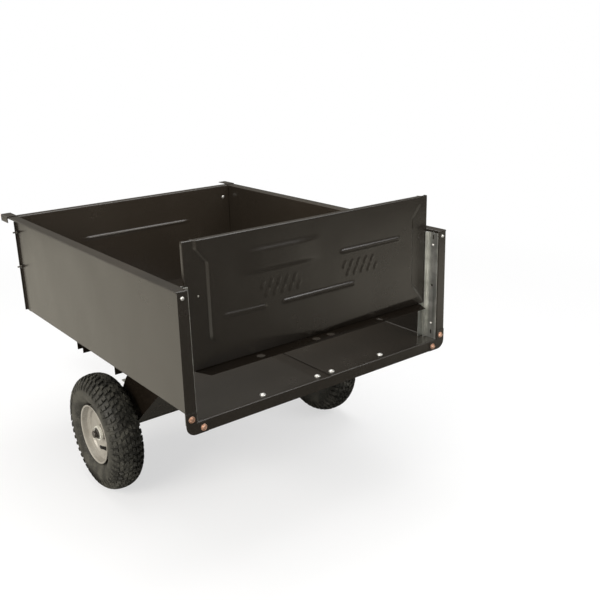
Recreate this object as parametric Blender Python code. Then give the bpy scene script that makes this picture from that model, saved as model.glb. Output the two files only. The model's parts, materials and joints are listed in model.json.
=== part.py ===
# Steel tipping garden trailer with a lift-out tailgate.
# Metres, +Z up. +Y points forward to the towing end, so the tailgate faces -Y.
# The origin lies on the ground under the middle of the overall box.
# Rest pose: bed level, tailgate lifted part way in its channels, parking leg down.

import math

import bmesh
import bpy
import numpy as np
from mathutils import Matrix, Vector

# Load bed: inside size, sheet and its folds
BED_WIDTH = 0.762
BED_LENGTH = 1.016
BED_HEIGHT = 0.305
SHEET = 0.0015
FLANGE = 0.029
RIM_LIP = 0.004
SIDE_OVERRUN = 0.028
FRONT_EDGE_LIP = 0.008
FRONT_EDGE_LIP_DROP = 0.012
FRONT_FLANGE = 0.024
SEAM_OFFSET = 0.005
SEAM_STEP_WIDTH = 0.045
SEAM_LAP = 0.035
JOGGLE_RUN = 0.003

# Corner plates
GUSSET_REACH = 0.026
GUSSET_CORNER = 0.024
GUSSET_NECK = 0.001
CAP_SETBACK = 0.009
CAP_LENGTH = 0.057
CAP_DROP = 0.020
CAP_SHEET = 0.002

# Wheels and axle
TYRE_DIAMETER = 0.330
TYRE_WIDTH = 0.094
RIM_RADIUS = 0.084
RIM_WIDTH = 0.074
RIM_SHEET = 0.0018
RIM_LIP_HEIGHT = 0.008
HUB_RADIUS = 0.021
HUB_OUTER_REACH = 0.026
HUB_INNER_RADIUS = 0.016
AXLE_RADIUS = 0.010
AXLE_END = 0.038
AXLE_DROP = 0.227
AXLE_FROM_REAR = 0.523
WHEEL_INSET = 0.001
WASHER_RADIUS = 0.018
WASHER_THICKNESS = 0.003
COTTER_REACH = 0.0335
COTTER_RADIUS = 0.0018
COTTER_LENGTH = 0.018
VALVE_RADIUS = 0.0042
VALVE_BACK = 0.030
VALVE_DOWN = 0.040

# Axle carrier under the bed
CARRIER_SHEET = 0.003
CARRIER_TYRE_CLEARANCE = 0.012
CARRIER_TOP_REAR = 0.262
CARRIER_FRONT_MARGIN = 0.006
CARRIER_FOOT_BACK = 0.080
CARRIER_FOOT_UP = 0.037
CARRIER_CHEEK_RADIUS = 0.030

# Tipping hinge
HINGE_AHEAD_OF_CARRIER = 0.024
HINGE_ABOVE_CARRIER = 0.0114
HINGE_PIN_RADIUS = 0.005
HINGE_EAR = 0.004
HINGE_EAR_REACH = 0.009
HINGE_PLATE_WIDTH = 0.040
HINGE_PLATE_LENGTH = 0.104
HINGE_STAND_FOOT = 0.0012
HINGE_FROM_CHEEK = 0.085

# Tailgate and its guide channels
GATE_SHEET = 0.0015
GATE_HEIGHT = 0.2985
GATE_SIDE_GAP = 0.0045
GATE_FROM_REAR = 0.0440
GATE_LIFT = 0.0985
GATE_PANEL_MARGIN = 0.058
GATE_PANEL_FLARE = 0.033
GATE_PANEL_CORNER = 0.036
GATE_PANEL_FOOT = 0.012
GATE_PANEL_TOP = 0.016
GATE_PANEL_DEPTH = 0.006
GATE_PANEL_SLOPE = 0.007
GATE_GRIP = 0.014
GATE_GRIP_INSET = 0.030
GATE_LIP_SETBACK = 0.0005
GATE_LIP_END_GAP = 0.027
GATE_LIP_TAPER = 0.017
GATE_LIP_HOLE_RADIUS = 0.0105
CHANNEL_SHEET = 0.0015
CHANNEL_SLOT = 0.0100
CHANNEL_FIN = 0.020
CHANNEL_SETBACK = 0.002
CHANNEL_TOP_GAP = 0.0067
CHANNEL_SLOT_LENGTH = 0.012
CHANNEL_SLOT_WIDTH = 0.005
CHANNEL_SPARE_HOLE = 0.0035
GATE_SLOT_PLAY = 0.0006

# Braces under the floor
BRACE_WIDTH = 0.040
BRACE_DEPTH = 0.023
BRACE_SHEET = 0.002
BRACE_END_GAP = 0.003
REAR_BRACE_END_GAP = 0.029
REAR_BRACE_FROM_REAR = 0.0225
MIDDLE_BRACE_FROM_REAR = 0.405
FRONT_BRACE_FROM_REAR = 0.646

# Drawbar and tow tongue
DRAWBAR_SIZE = 0.045
DRAWBAR_WALL = 0.003
DRAWBAR_REACH = 0.400
DRAWBAR_LIFT = 0.018
DRAWBAR_START_GAP = 0.0048
DRAWBAR_CLOSED_END = 0.020
SADDLE_SHEET = 0.004
SADDLE_HALF_LENGTH = 0.030
SADDLE_SIDE = 0.006
SADDLE_EYE_RADIUS = 0.018
BRACE_BAR = 0.005
BRACE_BAR_HEIGHT = 0.024
BRACE_BAR_REACH = 0.360
BRACE_BAR_FOOT = 0.040
TONGUE_LENGTH = 0.080
TONGUE_OVERLAP = 0.085
TONGUE_WIDTH = 0.060
TONGUE_THICKNESS = 0.008
TOW_HOLE_RADIUS = 0.0085

# Parking leg
LEG_AHEAD_OF_BED = 0.114
LEG_SIZE = 0.024
LEG_LEAN = 6.0
LEG_PLAY = 0.0006
LEG_PIN_DROP = 0.028
LEG_STOP_BELOW_PIN = 0.016
BRACKET_SHEET = 0.003
BRACKET_MARGIN = 0.008
FOOT_WIDTH = 0.070
FOOT_LENGTH = 0.044
FOOT_THICKNESS = 0.004

# Latch
LATCH_AHEAD_OF_BED = 0.074
LATCH_OPEN_ANGLE = 24.0
LATCH_THICKNESS = 0.0084
LATCH_PLAY = 0.0008
LATCH_PIN_RISE = 0.030
LATCH_BRACKET_HALF = 0.022
LATCH_BRACKET_EYE = 0.012
LATCH_HOOK_GAP = 0.003
LATCH_HOOK_REACH = 0.012
STRIKER_SHEET = 0.004
STRIKER_WIDTH = 0.076
STRIKER_SHELF = 0.042
STRIKER_SHELF_UP = 0.006
STRIKER_TOP = 0.048

# Fasteners
BOLT_RADIUS = 0.004
SMALL_BOLT_RADIUS = 0.003
BOLT_HEAD_HEIGHT = 1.1
GAP = 0.0003
DRILL_LENGTH = 0.020

# Bolt places
FLOOR_BOLTS = (-0.190, -0.024, 0.022, 0.189)
FLOOR_BOLT_FROM_REAR = 0.0205
POST_BOLT_DROP = 0.016
GUSSET_BOLT_OUT = 0.0145
GUSSET_BOLT_IN = 0.0145
GUSSET_BOLT_UP = 0.0105
GUSSET_BOLT_DOWN = 0.0165
CHANNEL_BOLT_HEIGHTS = (0.264, 0.043)
CHANNEL_SLOT_HEIGHTS = (0.286, 0.018)
CHANNEL_SPARE_HOLE_HEIGHT = 0.152
CHANNEL_BOLT_FROM_REAR = 0.0190
FRONT_BOLT_HEIGHTS = (0.254, 0.145)
FRONT_BOLT_FROM_WALL = 0.0150
FRONT_BOLT_TAIL = 0.011
BOLT_TAIL = 0.004
HINGE_BOLT_FROM_PIN = 0.036
STRIKER_BOLT_X = 0.026
STRIKER_BOLT_UP = 0.030

# Steps round a turned piece
ROUND_STEPS = 36
SHAFT_STEPS = 24
BOLT_STEPS = 12

# Places worked out from the sizes above
TYRE_RADIUS = TYRE_DIAMETER / 2
HALF_WIDTH = BED_WIDTH / 2
WHEEL_X = HALF_WIDTH - WHEEL_INSET
FLOOR_Z = TYRE_RADIUS + AXLE_DROP
RIM_TOP_Z = FLOOR_Z + BED_HEIGHT
UNDER_FLOOR_Z = FLOOR_Z - SHEET - GAP
BRACE_TOP_Z = UNDER_FLOOR_Z - SHEET - GAP
CARRIER_TOP_Z = BRACE_TOP_Z - BRACE_DEPTH - GAP
CARRIER_HALF_WIDTH = WHEEL_X - TYRE_WIDTH / 2 - CARRIER_TYRE_CLEARANCE
CARRIER_TOP_FRONT = MIDDLE_BRACE_FROM_REAR + BRACE_WIDTH / 2 + CARRIER_FRONT_MARGIN
REAR_PROUD = SHEET + 2 * GAP + BOLT_RADIUS * BOLT_HEAD_HEIGHT
FRONT_REACH = BED_LENGTH + DRAWBAR_REACH + TONGUE_LENGTH
REAR_Y = (REAR_PROUD - FRONT_REACH) / 2
FRONT_Y = REAR_Y + BED_LENGTH
AXLE_Y = REAR_Y + AXLE_FROM_REAR
AXLE_Z = TYRE_RADIUS
GATE_Y = REAR_Y + GATE_FROM_REAR
GATE_BOTTOM_Z = FLOOR_Z + GATE_LIFT
CHANNEL_HEIGHT = BED_HEIGHT - CHANNEL_TOP_GAP - GAP
HINGE_SPREAD = CARRIER_HALF_WIDTH - HINGE_FROM_CHEEK
HINGE_Y = REAR_Y + CARRIER_TOP_REAR + HINGE_AHEAD_OF_CARRIER
HINGE_Z = CARRIER_TOP_Z + HINGE_ABOVE_CARRIER
DRAWBAR_Z = AXLE_Z + AXLE_RADIUS + DRAWBAR_LIFT + DRAWBAR_SIZE / 2
DRAWBAR_TOP_Z = DRAWBAR_Z + DRAWBAR_SIZE / 2
DRAWBAR_END_Y = FRONT_Y + DRAWBAR_REACH
LATCH_PIVOT = (0.0, FRONT_Y + LATCH_AHEAD_OF_BED, DRAWBAR_TOP_Z + LATCH_PIN_RISE)
LEG_PIVOT = (0.0, FRONT_Y + LEG_AHEAD_OF_BED, DRAWBAR_Z - DRAWBAR_SIZE / 2 - LEG_PIN_DROP)


def clear_scene():
    for thing in list(bpy.data.objects):
        bpy.data.objects.remove(thing, do_unlink=True)


def paint(name, colour, roughness, metallic):
    material = bpy.data.materials.get(name)
    if material is None:
        material = bpy.data.materials.new(name)
        material.use_nodes = True
        shader = material.node_tree.nodes["Principled BSDF"]
        shader.inputs["Base Color"].default_value = (*colour, 1.0)
        shader.inputs["Roughness"].default_value = roughness
        shader.inputs["Metallic"].default_value = metallic
        material.diffuse_color = (*colour, 1.0)
    return material


def dark_paint():
    return paint("dark_paint", (0.055, 0.046, 0.040), 0.38, 0.2)


def zinc():
    return paint("zinc", (0.55, 0.55, 0.53), 0.35, 0.9)


def copper_zinc():
    return paint("copper_zinc", (0.62, 0.36, 0.22), 0.3, 0.9)


def silver_paint():
    return paint("silver_paint", (0.42, 0.40, 0.37), 0.4, 0.5)


def tyre_rubber():
    return paint("tyre_rubber", (0.035, 0.035, 0.033), 0.8, 0.0)


def black_rubber():
    return paint("black_rubber", (0.015, 0.015, 0.015), 0.6, 0.0)


def pivot_empty(name, place, parent=None):
    empty = bpy.data.objects.new(name, None)
    bpy.context.collection.objects.link(empty)
    empty.parent = parent
    base = parent_place(parent)
    empty.location = Vector(place) - base
    return empty


def parent_place(parent):
    place = Vector((0, 0, 0))
    while parent is not None:
        place += parent.location
        parent = parent.parent
    return place


def add_object(name, bm, material, parent=None, smooth=False):
    """Turns world-space geometry into an object whose origin is its parent's joint."""
    bmesh.ops.recalc_face_normals(bm, faces=bm.faces)
    mesh = bpy.data.meshes.new(name)
    bm.to_mesh(mesh)
    bm.free()
    base = parent_place(parent)
    mesh.transform(Matrix.Translation(-base))
    obj = bpy.data.objects.new(name, mesh)
    bpy.context.collection.objects.link(obj)
    obj.parent = parent
    mesh.materials.append(material)
    if smooth:
        mesh.shade_smooth()
        mesh.set_sharp_from_angle(angle=math.radians(35))
    return obj


def box_bm(low, high):
    bm = bmesh.new()
    bmesh.ops.create_cube(bm, size=1.0)
    low = Vector(low)
    high = Vector(high)
    for vert in bm.verts:
        share = vert.co + Vector((0.5, 0.5, 0.5))
        vert.co = Vector([low[k] + share[k] * (high[k] - low[k]) for k in range(3)])
    return bm


def prism_bm(outline, axis, start, end):
    """Extrudes a closed outline, given in the two other axes in X, Y, Z order, along one axis."""
    bm = bmesh.new()

    def point(pair, value):
        spot = list(pair)
        spot.insert(axis, value)
        return bm.verts.new(spot)

    first = [point(pair, start) for pair in outline]
    last = [point(pair, end) for pair in outline]
    bm.faces.new(first)
    bm.faces.new(list(reversed(last)))
    count = len(outline)
    for k in range(count):
        bm.faces.new((first[k], last[k], last[(k + 1) % count], first[(k + 1) % count]))
    return bm


def rings_bm(rings, axis, centre, steps, closed=False):
    """Skins rings of (distance along the axis, radius, is_hexagon) about a centre."""
    bm = bmesh.new()
    rows = []
    for along, radius, hexagon in rings:
        row = []
        for k in range(steps):
            turn = 2 * math.pi * k / steps
            reach = radius
            if hexagon and k % 2 == 1:
                reach = radius * math.cos(math.pi / 6)
            pair = (reach * math.cos(turn), reach * math.sin(turn))
            spot = list(pair)
            spot.insert(axis, along)
            row.append(bm.verts.new(Vector(spot) + Vector(centre)))
        rows.append(row)
    spans = list(zip(rows, rows[1:]))
    if closed:
        spans.append((rows[-1], rows[0]))
    for row, after in spans:
        for k in range(steps):
            bm.faces.new((row[k], row[(k + 1) % steps], after[(k + 1) % steps], after[k]))
    if not closed:
        bm.faces.new(list(reversed(rows[0])))
        bm.faces.new(rows[-1])
    return bm


def add_cutter(name, bm, parent=None):
    bmesh.ops.recalc_face_normals(bm, faces=bm.faces)
    mesh = bpy.data.meshes.new(name)
    bm.to_mesh(mesh)
    bm.free()
    base = parent_place(parent)
    mesh.transform(Matrix.Translation(-base))
    cutter = bpy.data.objects.new(name, mesh)
    bpy.context.collection.objects.link(cutter)
    cutter.parent = parent
    cutter.hide_render = True
    cutter.display_type = "WIRE"
    return cutter


def cut(obj, cutter, operation="DIFFERENCE"):
    modifier = obj.modifiers.new(operation.title() + "_" + cutter.name, "BOOLEAN")
    modifier.operation = operation
    modifier.solver = "EXACT"
    modifier.object = cutter
    return modifier


def merge_bm(parts):
    """Joins several closed shapes into one mesh, each still a body of its own."""
    whole = bmesh.new()
    for part in parts:
        scratch = bpy.data.meshes.new("scratch")
        bmesh.ops.recalc_face_normals(part, faces=part.faces)
        part.to_mesh(scratch)
        part.free()
        whole.from_mesh(scratch)
        bpy.data.meshes.remove(scratch)
    return whole


def drill(obj, holes, parent=None):
    """Cuts round holes, their flats outside the radius: each is (centre, axis, radius, length)."""
    shapes = []
    for centre, axis, radius, length in holes:
        steps = SHAFT_STEPS if radius > 2 * BOLT_RADIUS else BOLT_STEPS
        wide = radius / math.cos(math.pi / steps)
        ends = [(-length / 2, wide, False), (length / 2, wide, False)]
        shapes.append(rings_bm(ends, axis, centre, steps))
    cutter = add_cutter(obj.name + "_holes", merge_bm(shapes), parent)
    return cut(obj, cutter)


def sheet_object(name, verts, faces, thickness, material, parent=None, up=None):
    """A folded sheet: its seen faces, thickened on the side away from the point up."""
    bm = bmesh.new()
    front = [bm.verts.new(v) for v in verts]
    for face in faces:
        bm.faces.new([front[k] for k in face])
    bmesh.ops.recalc_face_normals(bm, faces=bm.faces)
    bm.faces.ensure_lookup_table()
    bm.normal_update()
    probe = bm.faces[0]
    if probe.normal.dot(Vector(up) - probe.calc_center_median()) < 0:
        bmesh.ops.reverse_faces(bm, faces=bm.faces)
        bm.normal_update()
    back = {vert: vert.co + sheet_step(vert, thickness) for vert in front}
    back = {vert: bm.verts.new(place) for vert, place in back.items()}
    edges = [edge for edge in bm.edges if len(edge.link_faces) == 1]
    sides = []
    for edge in edges:
        loop = edge.link_loops[0]
        first = loop.vert
        second = loop.link_loop_next.vert
        sides.append((second, first, back[first], back[second]))
    for face in list(bm.faces):
        sides.append([back[vert] for vert in reversed(face.verts)])
    for corners in sides:
        bm.faces.new(corners)
    return add_object(name, bm, material, parent)


def sheet_step(vert, thickness):
    """The shortest move that sets every face around a corner back by the thickness."""
    rows = np.array([face.normal[:] for face in vert.link_faces])
    wanted = np.full(len(rows), -thickness)
    return Vector(np.linalg.lstsq(rows, wanted, rcond=1e-4)[0])


def bolt(name, centre, axis, grip, direction, material, parent=None, radius=BOLT_RADIUS,
         head="dome", tail=BOLT_TAIL):
    """A bolt with its nut. centre lies under the head, direction points from head to nut."""
    head_radius = radius * 1.95
    head_height = radius * BOLT_HEAD_HEIGHT
    nut_height = radius * 1.5
    nut_radius = radius * 1.85
    s = direction
    low = GAP
    far = grip + GAP
    rings = []
    if head == "dome":
        rings.append((-s * (low + head_height), head_radius * 0.45, False))
        rings.append((-s * (low + head_height * 0.7), head_radius * 0.85, False))
        rings.append((-s * low, head_radius, False))
    else:
        rings.append((-s * (low + head_height), nut_radius, True))
        rings.append((-s * low, nut_radius, True))
    rings.append((-s * low, radius, False))
    rings.append((s * far, radius, False))
    rings.append((s * far, nut_radius, True))
    rings.append((s * (far + nut_height), nut_radius, True))
    rings.append((s * (far + nut_height), radius, False))
    rings.append((s * (far + nut_height + tail), radius * 0.8, False))
    bm = rings_bm(rings, axis, centre, BOLT_STEPS)
    return add_object(name, bm, material, parent, smooth=True)


def arc(y, z, radius, start, end, steps):
    """Points along an arc about a centre, from one angle in degrees to another."""
    turns = [math.radians(start + (end - start) * k / steps) for k in range(steps + 1)]
    return [(y + radius * math.cos(turn), z + radius * math.sin(turn)) for turn in turns]


# Load bed

def side_x(side, reach):
    """World X of a distance outwards from a side's inner face; side is -1 left, 1 right."""
    return side * (HALF_WIDTH + reach)


def bed_half(side, parent):
    """One bent sheet: rim, side wall, half the floor and their rear flanges."""
    name = "left_bed_half" if side < 0 else "right_bed_half"
    front = FRONT_Y + SIDE_OVERRUN
    lip_z = RIM_TOP_Z - RIM_LIP
    outer = side_x(side, FLANGE)
    wall = side_x(side, 0)
    # Corners from the rim's lip, down the wall and across the floor, each at the rear and at the front wall
    profile = [(outer, lip_z), (outer, RIM_TOP_Z), (wall, RIM_TOP_Z), (wall, FLOOR_Z)] + floor_profile(side)
    verts = []
    for x, z in profile:
        under_lap = side < 0 and x > SEAM_OFFSET
        verts.append((x, lap_rear_y() if under_lap else REAR_Y, z))
        verts.append((x, FRONT_Y, z))
    faces = [(2 * k, 2 * k + 1, 2 * k + 3, 2 * k + 2) for k in range(len(profile) - 1)]
    sill_tops = [6] + [2 * k for k in range(4, len(profile))]
    if side < 0:
        notch = len(verts)
        verts.append((SEAM_OFFSET - GAP, lap_rear_y(), UNDER_FLOOR_Z))
        faces[-2] = faces[-2][:3] + (notch,) + faces[-2][3:]
        faces[-1] = (notch,) + faces[-1][1:]
        sill_tops.pop()
    # The wall and rim run on past the front wall, and the wall's front edge turns outwards
    k = len(verts)
    lip_top = RIM_TOP_Z - FRONT_EDGE_LIP_DROP
    lip_x = side_x(side, FRONT_EDGE_LIP)
    verts += [(outer, front, lip_z), (outer, front, RIM_TOP_Z), (wall, front, RIM_TOP_Z),
              (wall, front, FLOOR_Z), (lip_x, front, lip_top), (lip_x, front, FLOOR_Z), (wall, front, lip_top)]
    faces += [(1, k, k + 1, 3), (3, k + 1, k + 2, 5), (5, k + 2, k + 6, k + 3, 7), (k + 6, k + 4, k + 5, k + 3)]
    # The post flange at the rear of the wall, and the sill flange under the rear of the floor
    verts.append((outer, REAR_Y, FLOOR_Z))
    faces.append((2, 0, len(verts) - 1, 6, 4))
    sill = len(verts)
    verts += [(verts[index][0], REAR_Y, FLOOR_Z - FLANGE) for index in sill_tops]
    for k in range(len(sill_tops) - 1):
        faces.append((sill_tops[k], sill_tops[k + 1], sill + k + 1, sill + k))
    outside_rim = (side_x(side, 1.0), FRONT_Y, RIM_TOP_Z - RIM_LIP / 2)
    obj = sheet_object(name, verts, faces, SHEET, dark_paint(), parent, up=outside_rim)
    drill(obj, bed_holes(side), parent)
    return obj


def floor_profile(side):
    """Floor corners from the wall to the seam: the left half steps down to pass under the right."""
    if side > 0:
        return [(SEAM_OFFSET, FLOOR_Z)]
    step = SEAM_OFFSET - SEAM_STEP_WIDTH
    return [(step, FLOOR_Z), (step + JOGGLE_RUN, UNDER_FLOOR_Z), (SEAM_OFFSET - GAP, UNDER_FLOOR_Z),
            (SEAM_OFFSET + SEAM_LAP, UNDER_FLOOR_Z)]


def lap_rear_y():
    """Rear edge of the lapped strip, just ahead of the other half's sill."""
    return REAR_Y + SHEET + 2 * GAP


def hole(centre, axis, radius, length=DRILL_LENGTH):
    return (centre, axis, radius + GAP, length)


def gusset_bolt_spots(side, y):
    return [(side_x(side, GUSSET_BOLT_OUT), y, FLOOR_Z + GUSSET_BOLT_UP),
            (side_x(side, -GUSSET_BOLT_IN), y, FLOOR_Z - GUSSET_BOLT_DOWN)]


def front_bolt_spots(x):
    return [(x, FRONT_Y + FRONT_BOLT_FROM_WALL, FLOOR_Z + z) for z in FRONT_BOLT_HEIGHTS]


def channel_bolt_spots(x):
    return [(x, REAR_Y + CHANNEL_BOLT_FROM_REAR, FLOOR_Z + z) for z in CHANNEL_BOLT_HEIGHTS]


def floor_bolt_spots(z):
    return [(x, REAR_Y + FLOOR_BOLT_FROM_REAR, z) for x in FLOOR_BOLTS]


def bed_holes(side):
    """Every bolt hole in one bed half."""
    wall = side_x(side, 0)
    edge = SEAM_OFFSET + SEAM_LAP if side < 0 else SEAM_OFFSET
    holes = [hole(spot, 2, BOLT_RADIUS) for spot in floor_bolt_spots(FLOOR_Z) if side * (spot[0] - edge) > 0]
    holes.append(hole((side_x(side, GUSSET_BOLT_OUT), REAR_Y, RIM_TOP_Z - POST_BOLT_DROP), 1, BOLT_RADIUS))
    holes += [hole(spot, 1, BOLT_RADIUS) for spot in gusset_bolt_spots(side, REAR_Y)]
    holes += [hole(spot, 0, SMALL_BOLT_RADIUS) for spot in channel_bolt_spots(wall) + front_bolt_spots(wall)]
    for y in hinge_bolt_places():
        holes.append(hole((side * HINGE_SPREAD, y, FLOOR_Z), 2, SMALL_BOLT_RADIUS))
    return holes


def hinge_bolt_places():
    return (HINGE_Y - HINGE_BOLT_FROM_PIN, HINGE_Y + HINGE_BOLT_FROM_PIN)


def front_panel(parent):
    """The front wall, with forward flanges at both sides, its top and its foot."""
    reach = HALF_WIDTH - GAP
    back = FRONT_Y + GAP
    deep = back + FRONT_FLANGE
    low = FLOOR_Z - SHEET
    verts = [(x, y, z) for y in (back, deep) for x, z in
             ((-reach, low), (reach, low), (reach, RIM_TOP_Z), (-reach, RIM_TOP_Z))]
    faces = [(0, 1, 2, 3), (0, 3, 7, 4), (1, 5, 6, 2), (3, 2, 6, 7), (0, 4, 5, 1)]
    inside_bed = (0, REAR_Y, FLOOR_Z)
    obj = sheet_object("front_panel", verts, faces, SHEET, dark_paint(), parent, up=inside_bed)
    holes = []
    for side in (-1, 1):
        holes += [hole(spot, 0, SMALL_BOLT_RADIUS) for spot in front_bolt_spots(side_x(side, 0))]
    holes += [hole(spot, 1, SMALL_BOLT_RADIUS) for spot in striker_bolt_spots(back)]
    drill(obj, holes, parent)
    return obj


def striker_bolt_spots(y):
    return [(x, y, FLOOR_Z + STRIKER_BOLT_UP) for x in (-STRIKER_BOLT_X, STRIKER_BOLT_X)]


def rear_gusset(side, parent):
    """A round-cornered plate that ties the post to the sill."""
    name = "left_rear_gusset" if side < 0 else "right_rear_gusset"
    outer = side_x(side, FLANGE)
    inner = side_x(side, -GUSSET_REACH)
    neck = side_x(side, GUSSET_NECK)
    low = FLOOR_Z - FLANGE
    outline = [(outer, FLOOR_Z + GUSSET_REACH)]
    for x, z in arc(FLANGE - GUSSET_CORNER, low + GUSSET_CORNER, GUSSET_CORNER, 0, -90, 5):
        outline.append((side_x(side, x), z))
    outline += [(inner, low), (inner, FLOOR_Z - SHEET), (neck, FLOOR_Z - SHEET), (neck, FLOOR_Z + GUSSET_REACH)]
    bm = prism_bm(outline, 1, REAR_Y - GAP, REAR_Y - GAP - SHEET)
    obj = add_object(name, bm, dark_paint(), parent)
    drill(obj, [hole(spot, 1, BOLT_RADIUS) for spot in gusset_bolt_spots(side, REAR_Y)], parent)
    return obj


def front_cap(side, parent):
    """A bent plate over the rim's front end, with a drop along its outer edge."""
    name = "left_front_cap" if side < 0 else "right_front_cap"
    back = FRONT_Y + CAP_SETBACK
    tip = back + CAP_LENGTH
    top = RIM_TOP_Z + GAP + CAP_SHEET
    inner = side_x(side, GUSSET_NECK)
    outer = side_x(side, FLANGE + GAP + CAP_SHEET)
    verts = [(inner, back, top), (outer, back, top), (outer, tip, top), (inner, tip, top),
             (outer, back, top - CAP_DROP), (outer, tip, top - CAP_DROP)]
    faces = [(0, 1, 2, 3), (1, 4, 5, 2)]
    above = (0, REAR_Y, RIM_TOP_Z + 1.0)
    return sheet_object(name, verts, faces, CAP_SHEET, dark_paint(), parent, up=above)


def gate_channel(side, parent):
    """A folded zinc strip: a leg along the side wall and two fins that guide the tailgate's edge."""
    name = "left_gate_channel" if side < 0 else "right_gate_channel"
    t = CHANNEL_SHEET
    face = HALF_WIDTH - GAP
    web = face - t
    fin = face - CHANNEL_FIN
    rear = REAR_Y + CHANNEL_SETBACK
    slot_back = GATE_Y - CHANNEL_SLOT / 2
    slot_front = GATE_Y + CHANNEL_SLOT / 2
    outline = [(face, rear), (face, slot_front + t), (fin, slot_front + t), (fin, slot_front), (web, slot_front),
               (web, slot_back), (fin, slot_back), (fin, slot_back - 2 * t), (web, slot_back - 2 * t), (web, rear)]
    outline = [(side * x, y) for x, y in outline]
    low = FLOOR_Z + GAP
    bm = prism_bm(outline, 2, low, low + CHANNEL_HEIGHT)
    obj = add_object(name, bm, zinc(), parent)
    bolt_y = REAR_Y + CHANNEL_BOLT_FROM_REAR
    holes = [hole(spot, 0, SMALL_BOLT_RADIUS) for spot in channel_bolt_spots(side * face)]
    holes.append(((side * face, bolt_y, FLOOR_Z + CHANNEL_SPARE_HOLE_HEIGHT), 0, CHANNEL_SPARE_HOLE, DRILL_LENGTH))
    drill(obj, holes, parent)
    slots = []
    reach = Vector((DRILL_LENGTH / 2, CHANNEL_SLOT_WIDTH / 2, CHANNEL_SLOT_LENGTH / 2))
    for z in CHANNEL_SLOT_HEIGHTS:
        centre = Vector((side * face, bolt_y, FLOOR_Z + z))
        slots.append(box_bm(centre - reach, centre + reach))
    cut(obj, add_cutter(name + "_slots", merge_bm(slots), parent))
    return obj


def floor_brace(name, from_rear, reach, parent, holes=()):
    """A channel, open downwards, across the underside of the floor."""
    back = REAR_Y + from_rear - BRACE_WIDTH / 2
    front = back + BRACE_WIDTH
    top = BRACE_TOP_Z
    low = top - BRACE_DEPTH
    section = [(back, low), (back, top), (front, top), (front, low)]
    verts = [(x, y, z) for x in (-reach, reach) for y, z in section]
    faces = [(0, 1, 5, 4), (1, 2, 6, 5), (2, 3, 7, 6)]
    obj = sheet_object(name, verts, faces, BRACE_SHEET, dark_paint(), parent, up=(0, REAR_Y - 1.0, top))
    if holes:
        drill(obj, holes, parent)
    return obj


def hinge_ear(side, parent):
    """The bed's half of the tipping hinge: a plate under the floor with an ear for the pin."""
    name = "left_hinge_ear" if side < 0 else "right_hinge_ear"
    top = UNDER_FLOOR_Z
    x = side * HINGE_SPREAD
    half = Vector((HINGE_PLATE_WIDTH / 2, HINGE_PLATE_LENGTH / 2, HINGE_EAR / 2))
    centre = Vector((x, HINGE_Y, top - HINGE_EAR / 2))
    obj = add_object(name, box_bm(centre - half, centre + half), dark_paint(), parent)
    reach = HINGE_EAR_REACH
    outline = [(HINGE_Y - reach, centre.z)] + arc(HINGE_Y, HINGE_Z, reach, 180, 360, 6)
    outline.append((HINGE_Y + reach, centre.z))
    ear = prism_bm(outline, 0, x - HINGE_EAR / 2, x + HINGE_EAR / 2)
    cut(obj, add_cutter(name + "_web", ear, parent), "UNION")
    holes = [hole((x, HINGE_Y, HINGE_Z), 0, HINGE_PIN_RADIUS)]
    holes += [hole((x, y, top), 2, SMALL_BOLT_RADIUS) for y in hinge_bolt_places()]
    drill(obj, holes, parent)
    return obj


def tailgate(parent):
    """The lift-out tailgate: a raised centre, side folds, a grip on top and a lip over the rear floor bolts."""
    edge = HALF_WIDTH - GATE_SIDE_GAP
    low = GATE_BOTTOM_Z + GATE_SHEET
    high = GATE_BOTTOM_Z + GATE_HEIGHT
    y_seen = GATE_Y - CHANNEL_SLOT / 2 + GATE_SLOT_PLAY
    y_fold = GATE_Y + CHANNEL_SLOT / 2 - GATE_SLOT_PLAY
    y_lip = REAR_Y + GATE_LIP_SETBACK
    grip = edge - GATE_GRIP_INSET
    lip = HALF_WIDTH - GATE_LIP_END_GAP
    lip_end = lip - GATE_LIP_TAPER

    def ring(inset, y):
        """The raised centre's outline, wider at its foot and its top."""
        narrow = HALF_WIDTH - GATE_PANEL_MARGIN - inset
        wide = narrow + GATE_PANEL_FLARE
        bottom = low + GATE_PANEL_FOOT + inset
        top = high - GATE_PANEL_TOP - inset
        right = [(wide, bottom), (narrow, bottom + GATE_PANEL_CORNER), (narrow, top - GATE_PANEL_CORNER), (wide, top)]
        left = [(-x, z) for x, z in reversed(right)]
        return [(x, y, z) for x, z in right + left]

    verts = [(edge, y_seen, low), (edge, y_seen, high), (-edge, y_seen, high), (-edge, y_seen, low)]
    verts += ring(0.0, y_seen)
    verts += ring(GATE_PANEL_SLOPE, y_seen - GATE_PANEL_DEPTH)
    verts += [(grip, y_seen, high), (-grip, y_seen, high), (grip, y_seen + GATE_GRIP, high),
              (-grip, y_seen + GATE_GRIP, high)]
    verts += [(lip, y_seen, low), (-lip, y_seen, low), (lip_end, y_lip, low), (-lip_end, y_lip, low)]
    verts += [(x, y_fold, z) for x, _, z in verts[:4]]
    faces = [(0, 24, 25, 3, 11, 4), (0, 4, 5, 6, 7, 1), (1, 7, 8, 2, 21, 20), (2, 8, 9, 10, 11, 3)]
    faces += [(4 + k, 4 + (k + 1) % 8, 12 + (k + 1) % 8, 12 + k) for k in range(8)]
    faces += [tuple(range(12, 20)), (20, 21, 23, 22), (24, 26, 27, 25), (0, 1, 29, 28), (2, 3, 31, 30)]
    behind = (0, REAR_Y - 1.0, high)
    obj = sheet_object("tailgate", verts, faces, GATE_SHEET, dark_paint(), parent, up=behind)
    drill(obj, [hole(spot, 2, GATE_LIP_HOLE_RADIUS) for spot in floor_bolt_spots(low)], parent)
    return obj


# Chassis

def carrier_foot():
    """Lower end of the carrier's sloping back, as Y and Z."""
    return (AXLE_Y - CARRIER_FOOT_BACK, AXLE_Z + CARRIER_FOOT_UP)


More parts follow.
